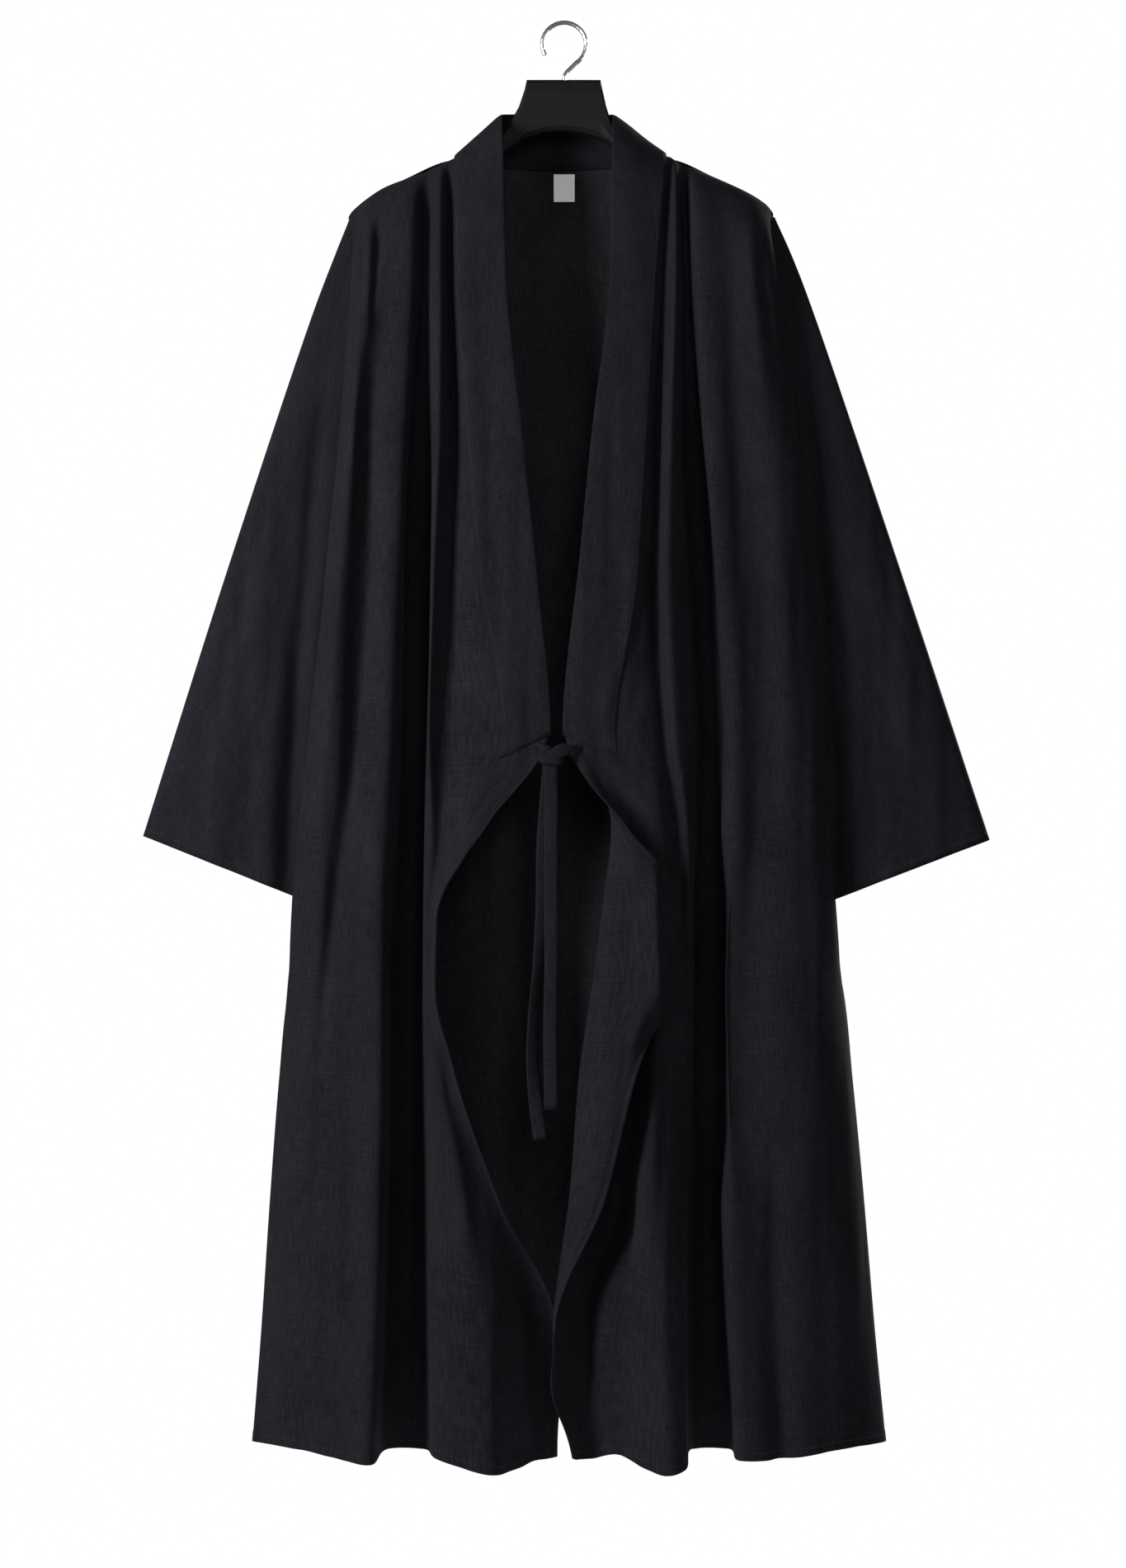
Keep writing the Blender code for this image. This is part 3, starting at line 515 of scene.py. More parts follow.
def tie(name, route, twist):
    """A flat strip along its route, with its edges rounded and a slight hollow across its face."""
    path = seen_to_real(spline(route, [TIE_STEPS] * len(route)))
    along = unit(np.gradient(path, axis=0))
    flat_side = unit(np.cross(along, (0.0, 1.0, 0.0)))
    flat_face = np.cross(flat_side, along)
    share = np.linspace(0.0, 1.0, len(path))
    turn = np.radians(np.interp(share, *np.transpose(twist)))[:, None]
    side = flat_side * np.cos(turn) + flat_face * np.sin(turn)
    face = np.cross(side, along)
    place = np.linspace(-1.0, 1.0, TIE_COLUMNS)
    thick = TIE_THICK * np.sqrt(1.0 - TIE_EDGE * place ** 4) / 2
    hollow = TIE_HOLLOW * np.cos(pi * place / 2)
    broad = np.interp(share, *np.transpose(TIE_GATHER))[:, None, None] * TIE_WIDTH * MM / 2
    grid = path[:, None] + side[:, None] * place[:, None] * broad
    outer = grid + face[:, None] * ((thick - hollow) * MM)[:, None]
    inner = grid + face[:, None] * ((-thick - hollow) * MM)[:, None]
    return shell(name, outer, inner, cloth), path


def knot():
    """The turn of one tie round the other, a short tube with small folds round it."""
    across, drop, forward = KNOT_MIDDLE
    rings = []
    for step in np.linspace(-0.5, 0.5, KNOT_RINGS):
        swell = cos(pi * step) - KNOT_FOLD * cos(KNOT_FOLDS * pi * step)
        turn = np.linspace(0.0, 2 * pi, KNOT_ROUND, endpoint=False)
        side = np.sign(np.cos(turn)) * abs(np.cos(turn)) ** KNOT_SQUARE * (KNOT_HALF[0] + swell)
        front = np.sign(np.sin(turn)) * abs(np.sin(turn)) ** KNOT_SQUARE * (KNOT_HALF[1] + swell)
        drops = np.full(len(turn), drop + step * KNOT_HEIGHT * KNOT_SHARE) + KNOT_SLANT * np.cos(turn)
        rings.append(seen_to_real(np.stack((across + side, drops, forward + front), axis=-1)))
    rings = np.array(rings)
    shift = grid_normals(rings, closed=True) * TIE_THICK * MM / 2
    return shell("kimono_tie_knot", rings + shift, rings - shift, cloth, closed=True)


tie_knot = knot()
ties = {}
for node, route, twist, pieces in (("tie_left", TIE_LEFT_ROUTE, TIE_LEFT_TWIST, ()),
                                   ("tie_right", TIE_RIGHT_ROUTE, TIE_RIGHT_TWIST, (tie_knot,))):
    made, path = tie("kimono_" + node, route, twist)
    length = float(step_lengths(path).sum())
    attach(made, "root")
    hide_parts(node)
    ties[node] = length
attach(tie_knot, "root")
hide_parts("tie_knot")
print("ties:", {name: round(length, 3) for name, length in ties.items()})

# %% [markdown]
# ## Creases and waves
#
# A crease is a line of points over the panel, as seen, with a width and a height. It lifts or sinks the
# cloth smoothly and fades out towards its ends. Slow waves run down every panel besides, because no cloth
# hangs quite flat.

# %% tools for creases
CREASE_FADE = 0.25
Crease = namedtuple("Crease", "points width height")


def ramp(value, start, width):
    """0 up to a start, then rising evenly to 1 over a width."""
    return np.clip((value - start) / width, 0.0, 1.0)


def line_distance(points, line):
    """Distance of each point from a line of points, and how far along it, from 0 to 1."""
    line = np.asarray(line, float)
    lengths = step_lengths(line)
    before = running(lengths)
    best = np.full(points.shape[:-1], np.inf)
    along = np.zeros(points.shape[:-1])
    for k, length in enumerate(lengths):
        way = (line[k + 1] - line[k]) / length
        t = np.clip((points - line[k]) @ way, 0.0, length)
        apart = np.linalg.norm(points - line[k] - t[..., None] * way, axis=-1)
        nearer = apart < best
        best = np.where(nearer, apart, best)
        along = np.where(nearer, (before[k] + t) / before[-1], along)
    return best, along


def crease_height(seen, creases):
    """How far the creases lift each point of a panel, in millimetres."""
    lift = np.zeros(seen.shape[:-1])
    for crease in creases:
        apart, along = line_distance(seen[..., :2], crease.points)
        fade = ramp(np.minimum(along, 1 - along), 0.0, CREASE_FADE)
        lift += crease.height * np.exp(-(apart / crease.width) ** 2) * fade * fade * (3 - 2 * fade)
    return lift


# Slow uneven waves down every panel: length of a wave across, height, how far it leans, where it starts
Wave = namedtuple("Wave", "length height lean start")
WAVES = (Wave(61.0, 0.9, 0.035, 0.3), Wave(37.0, 0.6, -0.02, 1.9), Wave(23.0, 0.32, 0.05, 4.1),
         Wave(14.5, 0.16, -0.04, 2.6))
SWAY, SWAY_LENGTH, SWAY_MORE = 0.9, 170.0, 45.0
WAVE_START, WAVE_SOFT, WAVE_LEAST = 150.0, 260.0, 0.15


def wave_height(seen, start):
    """Height of the slow waves at each point, in millimetres, weaker towards the shoulder."""
    across, drop = seen[..., 0], seen[..., 1]
    lift = np.zeros(across.shape)
    for k, wave in enumerate(WAVES):
        sway = SWAY * np.sin(drop / (SWAY_LENGTH + SWAY_MORE * k) + start + k)
        phase = 2 * pi * (across - wave.lean * drop) / wave.length + wave.start + start + sway
        lift += wave.height * np.sin(phase)
    return lift * np.maximum(ramp(drop, WAVE_START, WAVE_SOFT), WAVE_LEAST)


print("waves:", len(WAVES), "from", WAVES[-1].length, "to", WAVES[0].length, "mm long")

# %% [markdown]
# ## Panels
#
# A front or the back is its folds with its creases and waves. Hems are doubled, so the cloth is thicker
# there. The creases fade out near the seams. Where front and back meet at the side they are brought
# together until no light comes through.

# %% tools for panels
HEM = 7.0
HEM_MORE = 2.0
FRONT_HEM = 12.0
HEM_RISE, HEM_SOFT = 0.35, 1.6
TURNED_COLUMNS = 4 * FINE
TURN_BEFORE, TURN_SOFT = 3, 6.0
FREE_SHARE = 1.5
PULL_DROP, PULL_REACH = 1244.0, 30.0
ROLL_WIDTH = 3.0
ROLL_START, ROLL_SOFT = 4.0, 12.0
LAPEL_START, LAPEL_SOFT = 20.0, 30.0
CALM_DEPTH, CALM_SOFT = 6.0, 14.0
SEAM_HALF, SEAM_REACH = 0.002, 0.7


def edge_distance(grid):
    """Distance of each point of a grid from its first column, in millimetres."""
    steps = step_lengths(grid, 1) / MM
    return np.concatenate((np.zeros((len(grid), 1)), np.cumsum(steps, axis=1)), axis=1)


def hem_step(grid, broad):
    """Lift of the doubled cloth along the first column of a grid, from 1 at the edge to 0 past the hem."""
    return 1.0 - ramp(edge_distance(grid), broad, HEM_SOFT)


def facing_normals(grid, facing):
    """Normals of a panel, turned away from the seams' plane."""
    normals = grid_normals(grid)
    return normals * np.sign(-facing * normals[len(normals) // 2, :, 1].mean())


def panel_grids(folds, facing, creases, start, roll=0.0, pull=0.0, turned=()):
    """Grid of a front or back as seen, its real grid, normals, and outer and inner faces.

    A front's free edge rolls forward a little and its pull moves it aside just above the hem. Its
    turned creases lie on its first columns, which hang over the others as a lapel.
    """
    seen = seen_grid(folds)
    if pull:
        free = np.clip(FREE_SHARE - np.arange(seen.shape[1]) / TURNED_COLUMNS, 0.0, 1.0)
        seen[..., 0] += pull * free * np.exp(-((seen[..., 1] - PULL_DROP) / PULL_REACH) ** 2)
    seen[..., 2] = np.maximum(seen[..., 2], GAP) * facing
    grid = seen_to_real(seen)
    normals = facing_normals(grid, facing)
    lift = crease_height(seen, creases) + wave_height(seen, start)
    if turned:
        under = ramp(np.arange(seen.shape[1]), TURNED_COLUMNS - TURN_BEFORE, TURN_SOFT)
        below = ramp(seen[..., 1], TIE_DROP + LAPEL_START, LAPEL_SOFT)
        lift += (crease_height(seen, turned) - lift) * (1.0 - under) * below
    calm = ramp(facing * seen[..., 2], CALM_DEPTH, CALM_SOFT)
    doubled = hem_step(grid[::-1].swapaxes(0, 1), HEM + HEM_MORE).swapaxes(0, 1)[::-1]
    if roll:
        below_tie = ramp(seen[..., 1], TIE_DROP + ROLL_START, ROLL_SOFT)
        doubled = np.maximum(doubled, hem_step(grid, FRONT_HEM) * below_tie)
        lift += roll * np.exp(-(edge_distance(grid) / ROLL_WIDTH) ** 2) * below_tie
    grid = grid + normals * (lift * calm * MM)[..., None]
    normals = facing_normals(grid, facing)
    half = (SHEET / 2 + HEM_RISE * doubled[..., None]) * MM
    faces = [grid + normals * half, grid - normals * half]
    for face in faces:
        depth = -facing * face[..., 1] / MM
        face[..., 1] = -facing * np.where(depth < SEAM_REACH, SEAM_HALF, depth) * MM
    return seen, grid, normals, faces


print("hems:", HEM, "mm below,", FRONT_HEM, "mm on the fronts' edges")

# %% [markdown]
# ## Sewing
#
# Hems, cuffs and front edges are turned in and stitched a few millimetres from the edge. The stitches are
# small closed grains of thread set along a line that keeps its distance from the edge, with an even step.
# They are one mesh for each panel, which goes with that panel.

# %% tools for stitches
STITCH_STEP = 3.4
STITCH_SIZE = (2.5, 0.55, 0.22)
STITCH_AHEAD = 0.5


def read_off(values, lengths, places):
    """Values of a line at places along its length."""
    return np.stack([np.interp(places, lengths, values[:, k]) for k in range(3)], axis=-1)


def inset_line(grid, normals, distance):
    """Points and normals at a distance from the first column of a grid."""
    lengths = edge_distance(grid)
    points = [read_off(row, length, distance) for row, length in zip(grid, lengths)]
    ups = [read_off(row, length, distance) for row, length in zip(normals, lengths)]
    return np.array(points), np.array(ups)


def hem_line(grid, normals, distance=HEM):
    """Points and normals along the last row of a grid, at a distance from it."""
    return inset_line(grid[::-1].swapaxes(0, 1), normals[::-1].swapaxes(0, 1), distance)


def stitches(name, lines, look):
    """One mesh of stitches along several lines of points and normals."""
    points, faces = [], []
    long, wide, high = (size * MM / 2 for size in STITCH_SIZE)
    for line, ups in lines:
        length = running(step_lengths(line))
        places = np.arange(STITCH_STEP, length[-1] / MM - STITCH_STEP, STITCH_STEP) * MM
        at = read_off(line, length, places)
        ahead = unit(read_off(line, length, places + STITCH_AHEAD * MM) - at)
        up = unit(read_off(ups, length, places))
        side = np.cross(up, ahead)
        for p, a, s, u in zip(at, ahead, side, up):
            n = len(points)
            points += [p + a * long, p + s * wide, p - a * long, p - s * wide, p + u * high, p - u * high]
            faces += [(n + k, n + (k + 1) % 4, n + 4) for k in range(4)]
            faces += [(n + (k + 1) % 4, n + k, n + 5) for k in range(4)]
    made = finished(name, np.array(points), faces, look)
    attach(made, "root")
    print(name, len(faces) // 8, "stitches")
    return made


def thread_material():
    """Matt sewing thread, a shade lighter than the cloth."""
    made, _, shader = new_finish("kimono_thread")
    settle(shader, {"Base Color": (0.0085, 0.0085, 0.011, 1.0), "Roughness": 0.8})
    return made


thread = thread_material()
print("material:", thread.name)

# %% [markdown]
# ## The left front
#
# It falls from the shoulder in a tuck beside the collar and two broad folds, and its free edge bows out
# below the tie. The creases are those that the photograph shows between the large folds: puckers at the
# shoulder's tip, drags from the tie, and long faint troughs down the panel. They are soft and uneven.

# %% left front
FRONT_STITCH = 10.5
LEFT_CREASES = (
    Crease(((-129, 215), (-130, 367), (-134, 502), (-138, 728), (-141, 900), (-142, 1100), (-143, 1330)),
           8.5, -11.0),
    Crease(((-189, 176), (-185, 204), (-184, 262)), 4.0, -3.2),
    Crease(((-177, 170), (-177, 216), (-181, 300)), 4.5, 2.6),
    Crease(((-168, 170), (-170, 206), (-176, 270)), 4.0, -2.2),
    Crease(((-150, 168), (-160, 240), (-177, 352), (-180, 502), (-195, 690), (-212, 840), (-230, 990)),
           8.5, -8.0),
    Crease(((-56, 1060), (-26, 1140), (-8, 1190), (-6, 1250), (-6, 1420)), 26.0, -12.0),
    Crease(((-150, 300), (-160, 520), (-172, 760), (-178, 980)), 8.0, 1.5),
    Crease(((-205, 430), (-212, 600), (-222, 800), (-228, 1010)), 8.0, -1.6),
    Crease(((-232, 640), (-238, 800), (-247, 1000), (-262, 1240)), 7.0, 1.4),
    Crease(((-186, 900), (-190, 1040), (-196, 1180), (-204, 1290)), 9.0, -2.0),
    Crease(((-216, 980), (-222, 1100), (-233, 1280)), 7.0, 1.6),
    Crease(((-34, 648), (-52, 622), (-82, 560), (-98, 470)), 5.5, 1.1),
    Crease(((-36, 660), (-62, 664), (-92, 690), (-118, 742)), 6.0, 1.5),
    Crease(((-44, 676), (-70, 700), (-98, 748)), 4.5, -1.2),
    Crease(((-62, 640), (-86, 610), (-104, 540)), 6.0, -1.0),
    Crease(((-122, 840), (-112, 960), (-92, 1080), (-78, 1200)), 7.0, 1.4),
    Crease(((-96, 1010), (-74, 1110), (-58, 1230), (-54, 1300)), 6.5, -1.8),
    Crease(((-44, 1120), (-34, 1200), (-32, 1300)), 6.0, 1.4),
)


def front_sewing(name, faces, normals):
    """Stitches along a front's hem and, below the tie, along its free edge on both faces."""
    return stitches(name, [hem_line(faces[0], normals),
                           inset_line(faces[0][tie_row:], normals[tie_row:], FRONT_STITCH),
                           inset_line(faces[1][tie_row:], -normals[tie_row:], FRONT_STITCH)], thread)


seen_left, grid_left, up_left, faces_left = panel_grids(FRONT_LEFT, 1, LEFT_CREASES, start=0.0, roll=1.8,
                                                        pull=3.0)
front_left = shell("kimono_front_left", *faces_left, cloth)
tie_row = int(np.argmin(abs(seen_left[:, 0, 1] - TIE_DROP))) + 1
left_sewing = front_sewing("kimono_sewing_left", faces_left, up_left)
sewn_sheet(front_left, "front_left")

# %% [markdown]
# ## The right front
#
# It is the same cut, but its free edge has turned over below the tie and hangs like a long lapel, with
# its inside to the front. The lapel's edge is hemmed, so its stitches are seen on the inside of the cloth.

# %% right front
RIGHT_CREASES = (
    Crease(((112, 215), (117, 367), (127, 502), (134, 645), (130, 810), (130, 960), (133, 1185), (135, 1330)),
           7.5, -11.0),
    Crease(((179, 176), (180, 226), (190, 300)), 4.0, -2.8),
    Crease(((167, 166), (170, 236), (182, 340)), 4.5, 2.2),
    Crease(((150, 720), (152, 800), (154, 870), (152, 970), (150, 1080)), 24.0, -10.0),
    Crease(((193, 980), (193, 1140), (197, 1250), (200, 1400)), 9.0, -4.5),
    Crease(((58, 1030), (50, 1120), (46, 1200), (46, 1330)), 12.0, -9.0),
    Crease(((150, 165), (154, 270), (170, 430), (182, 600)), 7.0, -1.3),
    Crease(((136, 250), (148, 420), (160, 640), (158, 860)), 7.5, 1.4),
    Crease(((206, 420), (216, 600), (222, 760), (226, 960)), 8.0, -1.6),
    Crease(((196, 820), (200, 960), (206, 1110), (212, 1290)), 9.0, 1.7),
    Crease(((166, 900), (172, 1060), (182, 1200), (190, 1290)), 7.5, -1.9),
    Crease(((240, 700), (246, 900), (258, 1080), (272, 1270)), 8.0, 1.5),
    Crease(((14, 650), (34, 628), (56, 570), (70, 480)), 5.5, 1.1),
    Crease(((20, 660), (44, 668), (70, 700), (88, 760)), 6.0, 1.2),
    Crease(((34, 648), (62, 626), (80, 560)), 6.0, -1.0),
    Crease(((72, 420), (80, 520), (88, 640), (94, 720)), 5.0, -1.6),
    Crease(((92, 1040), (90, 1140), (96, 1300)), 6.0, 1.5),
    Crease(((60, 1120), (54, 1200), (62, 1296)), 6.0, -1.6),
)
# On the lapel the cloth is turned over, so a crease that rises to the front has a negative height
LAPEL_CREASES = (
    Crease(((78, 715), (81, 780), (84, 860), (83, 930), (76, 1010)), 3.2, -6.5),
    Crease(((98, 745), (103, 810), (98, 865), (88, 925)), 9.0, 6.0),
    Crease(((46, 740), (42, 860), (30, 980), (16, 1090)), 5.5, -2.2),
    Crease(((62, 760), (60, 880), (48, 1000)), 5.5, 2.4),
)

_, grid_right, up_right, faces_right = panel_grids(FRONT_RIGHT, 1, RIGHT_CREASES, start=1.7, roll=-2.2,
                                                   pull=-8.0, turned=LAPEL_CREASES)
front_right = shell("kimono_front_right", *faces_right, cloth)
right_sewing = front_sewing("kimono_sewing_right", faces_right, up_right)
sewn_sheet(front_right, "front_right")

# %% [markdown]
# ## The back
#
# The photograph shows only the inside of the back, in the shade of the opening. Its outside has the same
# kind of folds as the fronts: a few broad ones from the table, and softer creases between them. Its inner
# faces take the paler tones, painted light on their shade. Its neck is tucked up a little, to lie inside the
# collar band.

# %% back
NECK_TUCK = 2.6
NECK_DEPTH = 10
BACK_CREASES = (
    Crease(((-30, 150), (-36, 300), (-32, 480), (-38, 700)), 9.0, -1.6),
    Crease(((34, 160), (30, 330), (36, 560), (30, 800)), 9.0, 1.4),
    Crease(((-88, 190), (-84, 380), (-92, 600), (-88, 860)), 8.0, 1.5),
    Crease(((86, 200), (92, 420), (84, 640), (90, 900)), 8.0, -1.5),
    Crease(((-186, 240), (-182, 460), (-192, 720), (-200, 980)), 8.0, -1.6),
    Crease(((188, 260), (190, 480), (196, 760), (206, 1000)), 8.0, 1.5),
    Crease(((-140, 640), (-146, 900), (-142, 1120), (-150, 1270)), 9.0, 1.8),
    Crease(((146, 700), (142, 940), (152, 1160), (156, 1270)), 9.0, -1.8),
    Crease(((-26, 820), (-30, 1000), (-24, 1250)), 8.0, 1.6),
    Crease(((26, 900), (22, 1080), (28, 1250)), 8.0, -1.6),
)


def back_folds():
    """The back's folds with the fronts' own side folds and side seams at its two ends."""
    neck = [fold._replace(top=fold.top - NECK_TUCK) if fold.depth[0] > NECK_DEPTH else fold for fold in BACK]
    return (*FRONT_LEFT[:-3:-1], *neck, *FRONT_RIGHT[-2:])


_, grid_back, up_back, faces_back = panel_grids(back_folds(), -1, BACK_CREASES, start=3.1)
back = shell("kimono_back", *faces_back, cloth)
# The inner faces of the back get the paler cloth: painted light on their deep shade
back.data.materials.append(cloth_painted_light)
sides = np.zeros(len(back.data.polygons), dtype=np.int32)
sides[1:2 * (grid_back.shape[0] - 1) * (grid_back.shape[1] - 1):2] = 1
back.data.polygons.foreach_set("material_index", sides)
back_sewing = stitches("kimono_sewing_back", [hem_line(faces_back[0], up_back)], thread)
sewn_sheet(back, "back")

# %% [markdown]
# ## The sleeves
#
# A sleeve is one piece folded into a wide flat tube and set into the armhole. It hangs out at a slant, so
# its cloth drags from the shoulder to the lower corner of the cuff. Front and back get creases of their
# own, and the cuff is hemmed all round. Its head goes a few millimetres into the armhole and swells there,
# so that no light comes through.

# %% sleeves
# Outer edge from the shoulder to the cuff, under edge from the underarm to the cuff, how far the head is set
# in, where the waves start, the creases, and the line beside the body where the sleeve falls into the shade
Sleeve = namedtuple("Sleeve", "outer under inset start creases shade")
SLEEVES = {
    "sleeve_left": Sleeve(
        ((-195, 177), (-209, 212), (-228, 262), (-307, 499), (-382.5, 737.5)),
        ((-198, 500), (-221, 802)), 9.0, 0.8,
        (Crease(((-206, 250), (-232, 400), (-268, 600), (-300, 745)), 8.0, -1.8),
         Crease(((-212, 230), (-250, 400), (-290, 560), (-330, 730)), 9.0, 1.6),
         Crease(((-204, 330), (-216, 480), (-230, 640), (-240, 780)), 7.0, 1.7),
         Crease(((-258, 520), (-266, 640), (-270, 770)), 6.0, 1.4),
         Crease(((-226, 300), (-272, 450), (-322, 620)), 7.0, -1.2)),
        [Crease(((-204, 220), (-220, 352), (-236, 502), (-248, 690), (-254, 900)), 9.0, -6.5)]),
    "sleeve_right": Sleeve(
        ((191, 175.2), (207, 211), (225, 258), (306.5, 499), (386.5, 741)),
        ((204, 500), (220, 805)), -9.0, 2.2,
        (Crease(((204, 250), (226, 400), (262, 600), (296, 750)), 8.0, -1.8),
         Crease(((210, 230), (248, 400), (292, 570), (334, 730)), 9.0, 1.6),
         Crease(((206, 330), (216, 480), (228, 640), (238, 780)), 7.0, 1.7),
         Crease(((250, 500), (262, 640), (268, 770)), 6.0, -1.4),
         Crease(((224, 300), (274, 460), (326, 640)), 7.0, 1.2)),
        [Crease(((206, 220), (219, 352), (234, 502), (246, 690), (252, 900)), 7.0, -4.0)]),
}
# Along the sleeve: share of its length, half of its thickness, how far back its middle lies
SLEEVE_BODY = ((0.0, 6.0, 0.0), (0.12, 8.0, 1.0), (0.4, 14.0, 2.0), (0.75, 19.0, 2.0), (1.0, 22.0, 2.0))
SLEEVE_ROWS, SLEEVE_ROUND, SLEEVE_CROWD = 110, 112, 1.25
SLEEVE_STEPS = 24
SLEEVE_TUCK, SLEEVE_TUCK_ROWS = 6.0, 3
BACK_FROM, BACK_SHARE = -2.0, 0.7
# Shares of the sleeve's length: where creases and shade begin, over how much they grow, reach of the swell
CREASES_FROM, CREASES_SOFT = 0.22, 0.3
SHADE_FROM, SHADE_SOFT = 0.06, 0.25
HEAD_SWELL_FRONT, HEAD_SWELL_BACK, HEAD_SWELL_REACH = 1.3, 1.1, 0.05
EDGE_SOFT = 0.5


def sleeve_grid(cut):
    """A flattened tube from the armhole to the cuff, as seen."""
    outer = spline([(a, d, 0) for a, d in cut.outer], [SLEEVE_STEPS] * len(cut.outer))
    lengths = running(step_lengths(outer))
    lengths /= lengths[-1]
    shares, halves, backs = zip(*SLEEVE_BODY)
    rings = []
    for n in range(SLEEVE_ROWS + 1):
        share = (n / SLEEVE_ROWS) ** SLEEVE_CROWD
        top = np.array([np.interp(share, lengths, outer[:, k]) for k in (0, 1)])
        under = np.array(cut.under[0]) + (np.array(cut.under[1]) - np.array(cut.under[0])) * share
        half = smooth_value(shares, halves, share)
        back_by = smooth_value(shares, backs, share)
        ring = []
        for k in range(SLEEVE_ROUND):
            turn = 2 * pi * k / SLEEVE_ROUND
            low = (1 - cos(turn)) / 2
            across, drop = top + (under - top) * low
            across += cut.inset * (1 - share) ** 4 * sin(pi * low)
            ring.append((across, drop, half * np.sign(sin(turn)) * flat_oval(low) - back_by))
        rings.append(ring)
    first = np.array(rings[0])
    inward = np.array((np.sign(cut.inset), 0.0, 0.0))
    tucked = [first + inward * SLEEVE_TUCK * k / SLEEVE_TUCK_ROWS for k in range(SLEEVE_TUCK_ROWS, 0, -1)]
    return np.concatenate((tucked, rings))


def sleeve_normals(grid):
    """Normals of a sleeve, turned out of its tube."""
    normals = grid_normals(grid, closed=True)
    return normals * -np.sign(normals[-1, SLEEVE_ROUND // 4, 1])


def sleeve_lift(cut, seen):
    """How far a sleeve's creases, shade and head lift each of its points, in millimetres."""
    share = np.linspace(0.0, 1.0, SLEEVE_ROWS + 1)[:, None] ** SLEEVE_CROWD
    share = np.concatenate((np.zeros((SLEEVE_TUCK_ROWS, 1)), share))
    behind = seen[..., 2] < BACK_FROM
    lift = crease_height(seen, cut.creases) + wave_height(seen, cut.start)
    lift = np.where(behind, -BACK_SHARE * lift, lift) * ramp(share, CREASES_FROM, CREASES_SOFT)
    shade = crease_height(seen, cut.shade) * ramp(share, SHADE_FROM, SHADE_SOFT)
    lift += np.where(behind, 0.0, shade)
    head = 1.0 - ramp(share, 0.0, HEAD_SWELL_REACH)
    lift += head * np.where(behind, HEAD_SWELL_BACK, HEAD_SWELL_FRONT)
    turn = np.linspace(0.0, 2 * pi, SLEEVE_ROUND, endpoint=False)
    return lift * ramp(abs(np.sin(turn)), 0.0, EDGE_SOFT)


for node, cut in SLEEVES.items():
    seen = sleeve_grid(cut)
    grid = seen_to_real(seen)
    grid = grid + sleeve_normals(grid) * (sleeve_lift(cut, seen) * MM)[..., None]
    normals = sleeve_normals(grid)
    faces = (grid + normals * SHEET * MM / 2, grid - normals * SHEET * MM / 2)
    made = shell("kimono_" + node, *faces, cloth, closed=True)
    sewing = stitches("kimono_sewing_" + node, [hem_line(faces[0], normals)], thread)
    sewn_sheet(made, node)

# %% [markdown]
# ## The collar band
#
# One long doubled strip runs from tie to tie round the back neck. It lies on the fronts, so it is made
# from their own points moved out, with its thickness rounded off towards both edges as a folded strip is.
# Its outer edge is sewn down with a line of stitches.

# %% collar band
BAND_WALL = 1.9
BAND_LIFT = 0.45
BAND_CLEAR = 0.12
BAND_LAP, BAND_LAP_COLUMNS = 3.0, 3
BAND_SPANS = 8
BAND_END, BAND_TIP = 95.0, 2.0
BAND_ROUND, BAND_POWER = 0.55, 9
BAND_STITCH = 3.0
BAND_PROBE = (5, 20, 1)
NECK_STATIONS = 60
NECK_SEAM = (5.0, 32.6)
NECK_EDGE = (-7.0, 22.0)


def band_rows(grid, normals):
    """Lower and upper points of the band where it lies on a front, from the shoulder down."""
    columns = BAND_SPANS * FINE + 1
    inner_edge = grid[:tie_row, :1]
    lap = inner_edge - grid[:tie_row, FINE:FINE + 1]
    lap *= BAND_LAP * MM / np.linalg.norm(lap, axis=2, keepdims=True)
    outward = np.linspace(1.0, 0.0, BAND_LAP_COLUMNS + 1)[:-1, None]
    strip = np.concatenate((inner_edge + lap * outward[None], grid[:tie_row, :columns]), axis=1)
    lap_normals = np.repeat(normals[:tie_row, :1], BAND_LAP_COLUMNS, axis=1)
    lift = np.concatenate((lap_normals, normals[:tie_row, :columns]), axis=1)
    place = np.linspace(-1.0, 1.0, strip.shape[1])
    thick = BAND_WALL * (1.0 - BAND_ROUND * abs(place) ** BAND_POWER)
    to_end = running(step_lengths(strip[:, 0])[::-1])[::-1] / MM
    thin = ramp(to_end, -BAND_TIP, BAND_END)[:, None]
    base = (SHEET / 2 + BAND_CLEAR + (BAND_LIFT - BAND_CLEAR) * thin) * MM
    return strip + lift * base[..., None], strip + lift * (base + thick * thin * MM)[..., None]


def neck_rows(start, end):
    """Band round the back neck, between its rows on the two shoulders."""
    upper = np.linspace(1.0, 0.0, len(start[0]))[:, None]
    sag = upper * NECK_EDGE[0] + (1 - upper) * NECK_SEAM[0]
    behind = upper * NECK_EDGE[1] + (1 - upper) * NECK_SEAM[1]
    bow = np.hstack((0 * sag, behind, -sag)) * MM
    thick = np.array((0.0, BAND_WALL * MM, 0.0))
    low, high = [], []
    for n in range(1, NECK_STATIONS):
        turn = pi * n / NECK_STATIONS
        share = (1 - cos(turn)) / 2
        low.append(blend(start[0], end[0], 0.0, 1.0, share) + bow * sin(turn))
        high.append(blend(start[1], end[1], 0.0, 1.0, share) + (bow + thick) * sin(turn))
    return np.array(low), np.array(high)


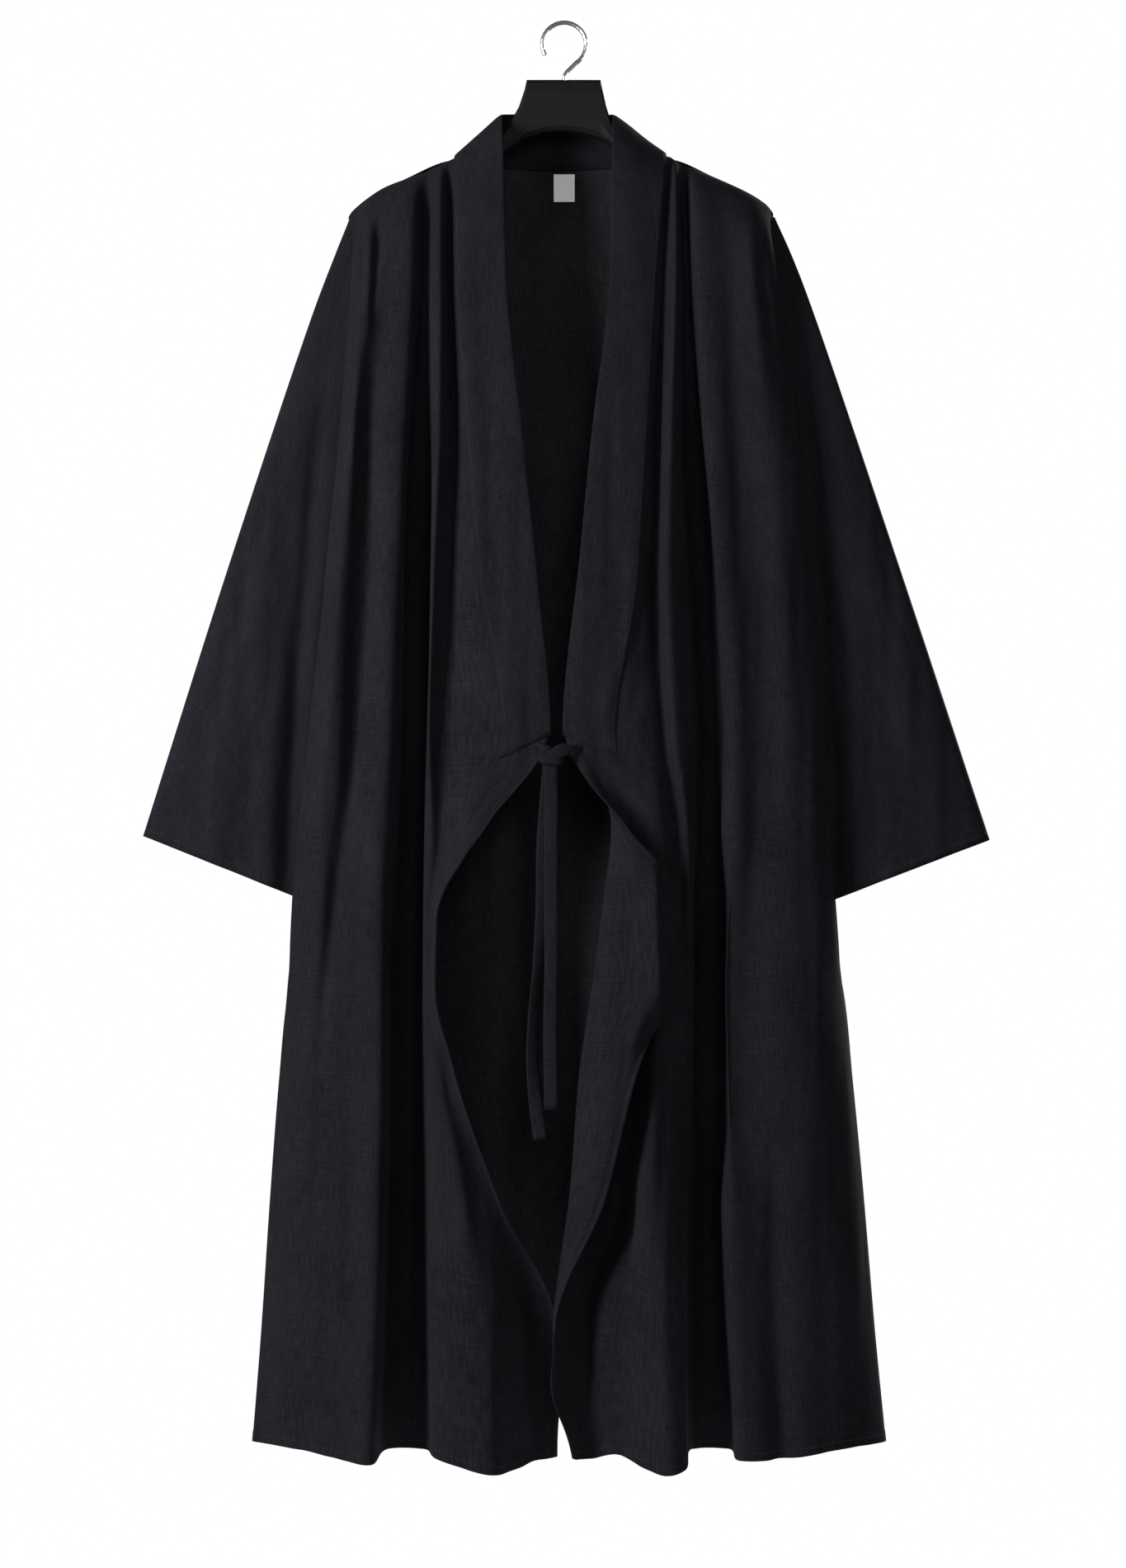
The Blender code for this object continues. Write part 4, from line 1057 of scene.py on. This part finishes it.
left_low, left_high = band_rows(grid_left, up_left)
right_low, right_high = band_rows(grid_right, up_right)
neck_low, neck_high = neck_rows((left_low[0], left_high[0]), (right_low[0], right_high[0]))
low = np.concatenate((left_low[::-1], neck_low, right_low))
high = np.concatenate((left_high[::-1], neck_high, right_high))
band = shell("kimono_collar_band", high, low, cloth)
band_up = grid_normals(high)
band_up *= -np.sign(band_up[BAND_PROBE])
band_line = inset_line(high[:, ::-1], band_up[:, ::-1], BAND_STITCH)
band_sewing = stitches("kimono_sewing_band", [band_line], thread)
sewn_sheet(band, "collar_band")

# %% [markdown]
# ## Hanger, hook and label
#
# These solids already have their shape and stay as they are. They only get their finish: satin black
# plastic with a faint grain, plain bent wire, and a bare white tape.

# %% finishes of the hanger, hook and label
def plain_finish(name, colour, roughness, metallic, grain, size):
    """A finish with a fine grain in its surface, on the object's own coordinates."""
    made, tree, shader = new_finish(name)
    settle(shader, {"Base Color": colour, "Roughness": roughness, "Metallic": metallic,
                    "Specular IOR Level": 0.12})
    place = tree.nodes.new("ShaderNodeTexCoord")
    raise_grain(tree, shader, noise(tree, place.outputs["Object"], size, 3.0), grain, 0.0003)
    return made


FINISHES = {
    "hanger": plain_finish("hanger_satin", (0.0032, 0.0032, 0.0038, 1.0), 0.6, 0.0, 0.15,
                           (900.0, 900.0, 900.0)),
    "hook": plain_finish("hook_wire", (0.42, 0.42, 0.43, 1.0), 0.28, 1.0, 0.05, (200.0, 200.0, 2000.0)),
    "label": plain_finish("label_tape", (0.93, 0.93, 0.92, 1.0), 0.85, 0.0, 0.4, (1600.0, 1600.0, 1600.0)),
}
for node, finish in FINISHES.items():
    solid = bpy.data.objects[node]
    for place in solid.material_slots:
        place.material = finish
    print(node, "gets", finish.name)

# %% [markdown]
# ## Studio
#
# The robe hangs above a round pale floor, with nothing behind it, so it can be looked at from all sides.
# The air round it is plain white to the camera and only a faint fill to the cloth. One tall soft light
# stands at the left, so the folds fall into shade on their right. Weaker ones stand at the right, in
# front and behind.

# %% floor and light
FLOOR_DROP = 1.62
FLOOR_RADIUS = 0.65
FLOOR_SIDES = 96
FILL = 0.17
WHITE = (1.0, 1.0, 1.0, 1.0)


def floor():
    """A plain pale disc below the hem."""
    turn = np.linspace(0.0, 2 * pi, FLOOR_SIDES, endpoint=False)
    drops = np.full(FLOOR_SIDES, -FLOOR_DROP)
    points = np.stack((FLOOR_RADIUS * np.cos(turn), FLOOR_RADIUS * np.sin(turn), drops), axis=1)
    look, _, shader = new_finish("studio_pale")
    settle(shader, {"Base Color": (0.9, 0.9, 0.9, 1.0), "Roughness": 0.9})
    finished("studio_floor", points, [tuple(range(FLOOR_SIDES))], look)


def white_air():
    """A world that is white to the camera and a faint even fill to everything else."""
    made = bpy.data.worlds.new("studio")
    made.use_nodes = True
    tree = made.node_tree
    fill = tree.nodes["Background"]
    settle(fill, {"Color": WHITE, "Strength": FILL})
    seen_white = tree.nodes.new("ShaderNodeBackground")
    settle(seen_white, {"Color": WHITE})
    path = tree.nodes.new("ShaderNodeLightPath")
    either = tree.nodes.new("ShaderNodeMixShader")
    tree.links.new(path.outputs["Is Camera Ray"], either.inputs["Fac"])
    tree.links.new(fill.outputs["Background"], either.inputs[1])
    tree.links.new(seen_white.outputs["Background"], either.inputs[2])
    tree.links.new(either.outputs["Shader"], tree.nodes["World Output"].inputs["Surface"])
    bpy.context.scene.world = made


def soft_light(name, place, target, size, power):
    """A rectangular light that faces a target."""
    lamp = bpy.data.lights.new(name, "AREA")
    lamp.shape = "RECTANGLE"
    lamp.size, lamp.size_y = size
    lamp.energy = power
    made = bpy.data.objects.new(name, lamp)
    way = np.subtract(target, place)
    flat = sqrt(way[0] ** 2 + way[1] ** 2)
    made.location = place
    made.rotation_euler = (atan2(flat, -way[2]), 0.0, atan2(-way[0], way[1]))
    bpy.context.scene.collection.objects.link(made)


floor()
white_air()
soft_light("light_left", (-1.4, -1.1, -0.25), (0.0, 0.0, -0.7), (0.5, 1.3), 62.0)
soft_light("light_right", (1.2, -1.0, -0.35), (0.2, 0.0, -0.65), (0.4, 1.3), 3.0)
soft_light("light_front", (0.3, -2.9, 0.3), (0.0, 0.0, -0.6), (1.0, 1.0), 22.0)
soft_light("light_behind", (1.4, 1.5, 0.1), (0.0, 0.0, -0.65), (0.7, 1.3), 100.0)
bpy.context.scene.view_settings.view_transform = "Standard"
print("studio: one floor, four lights")
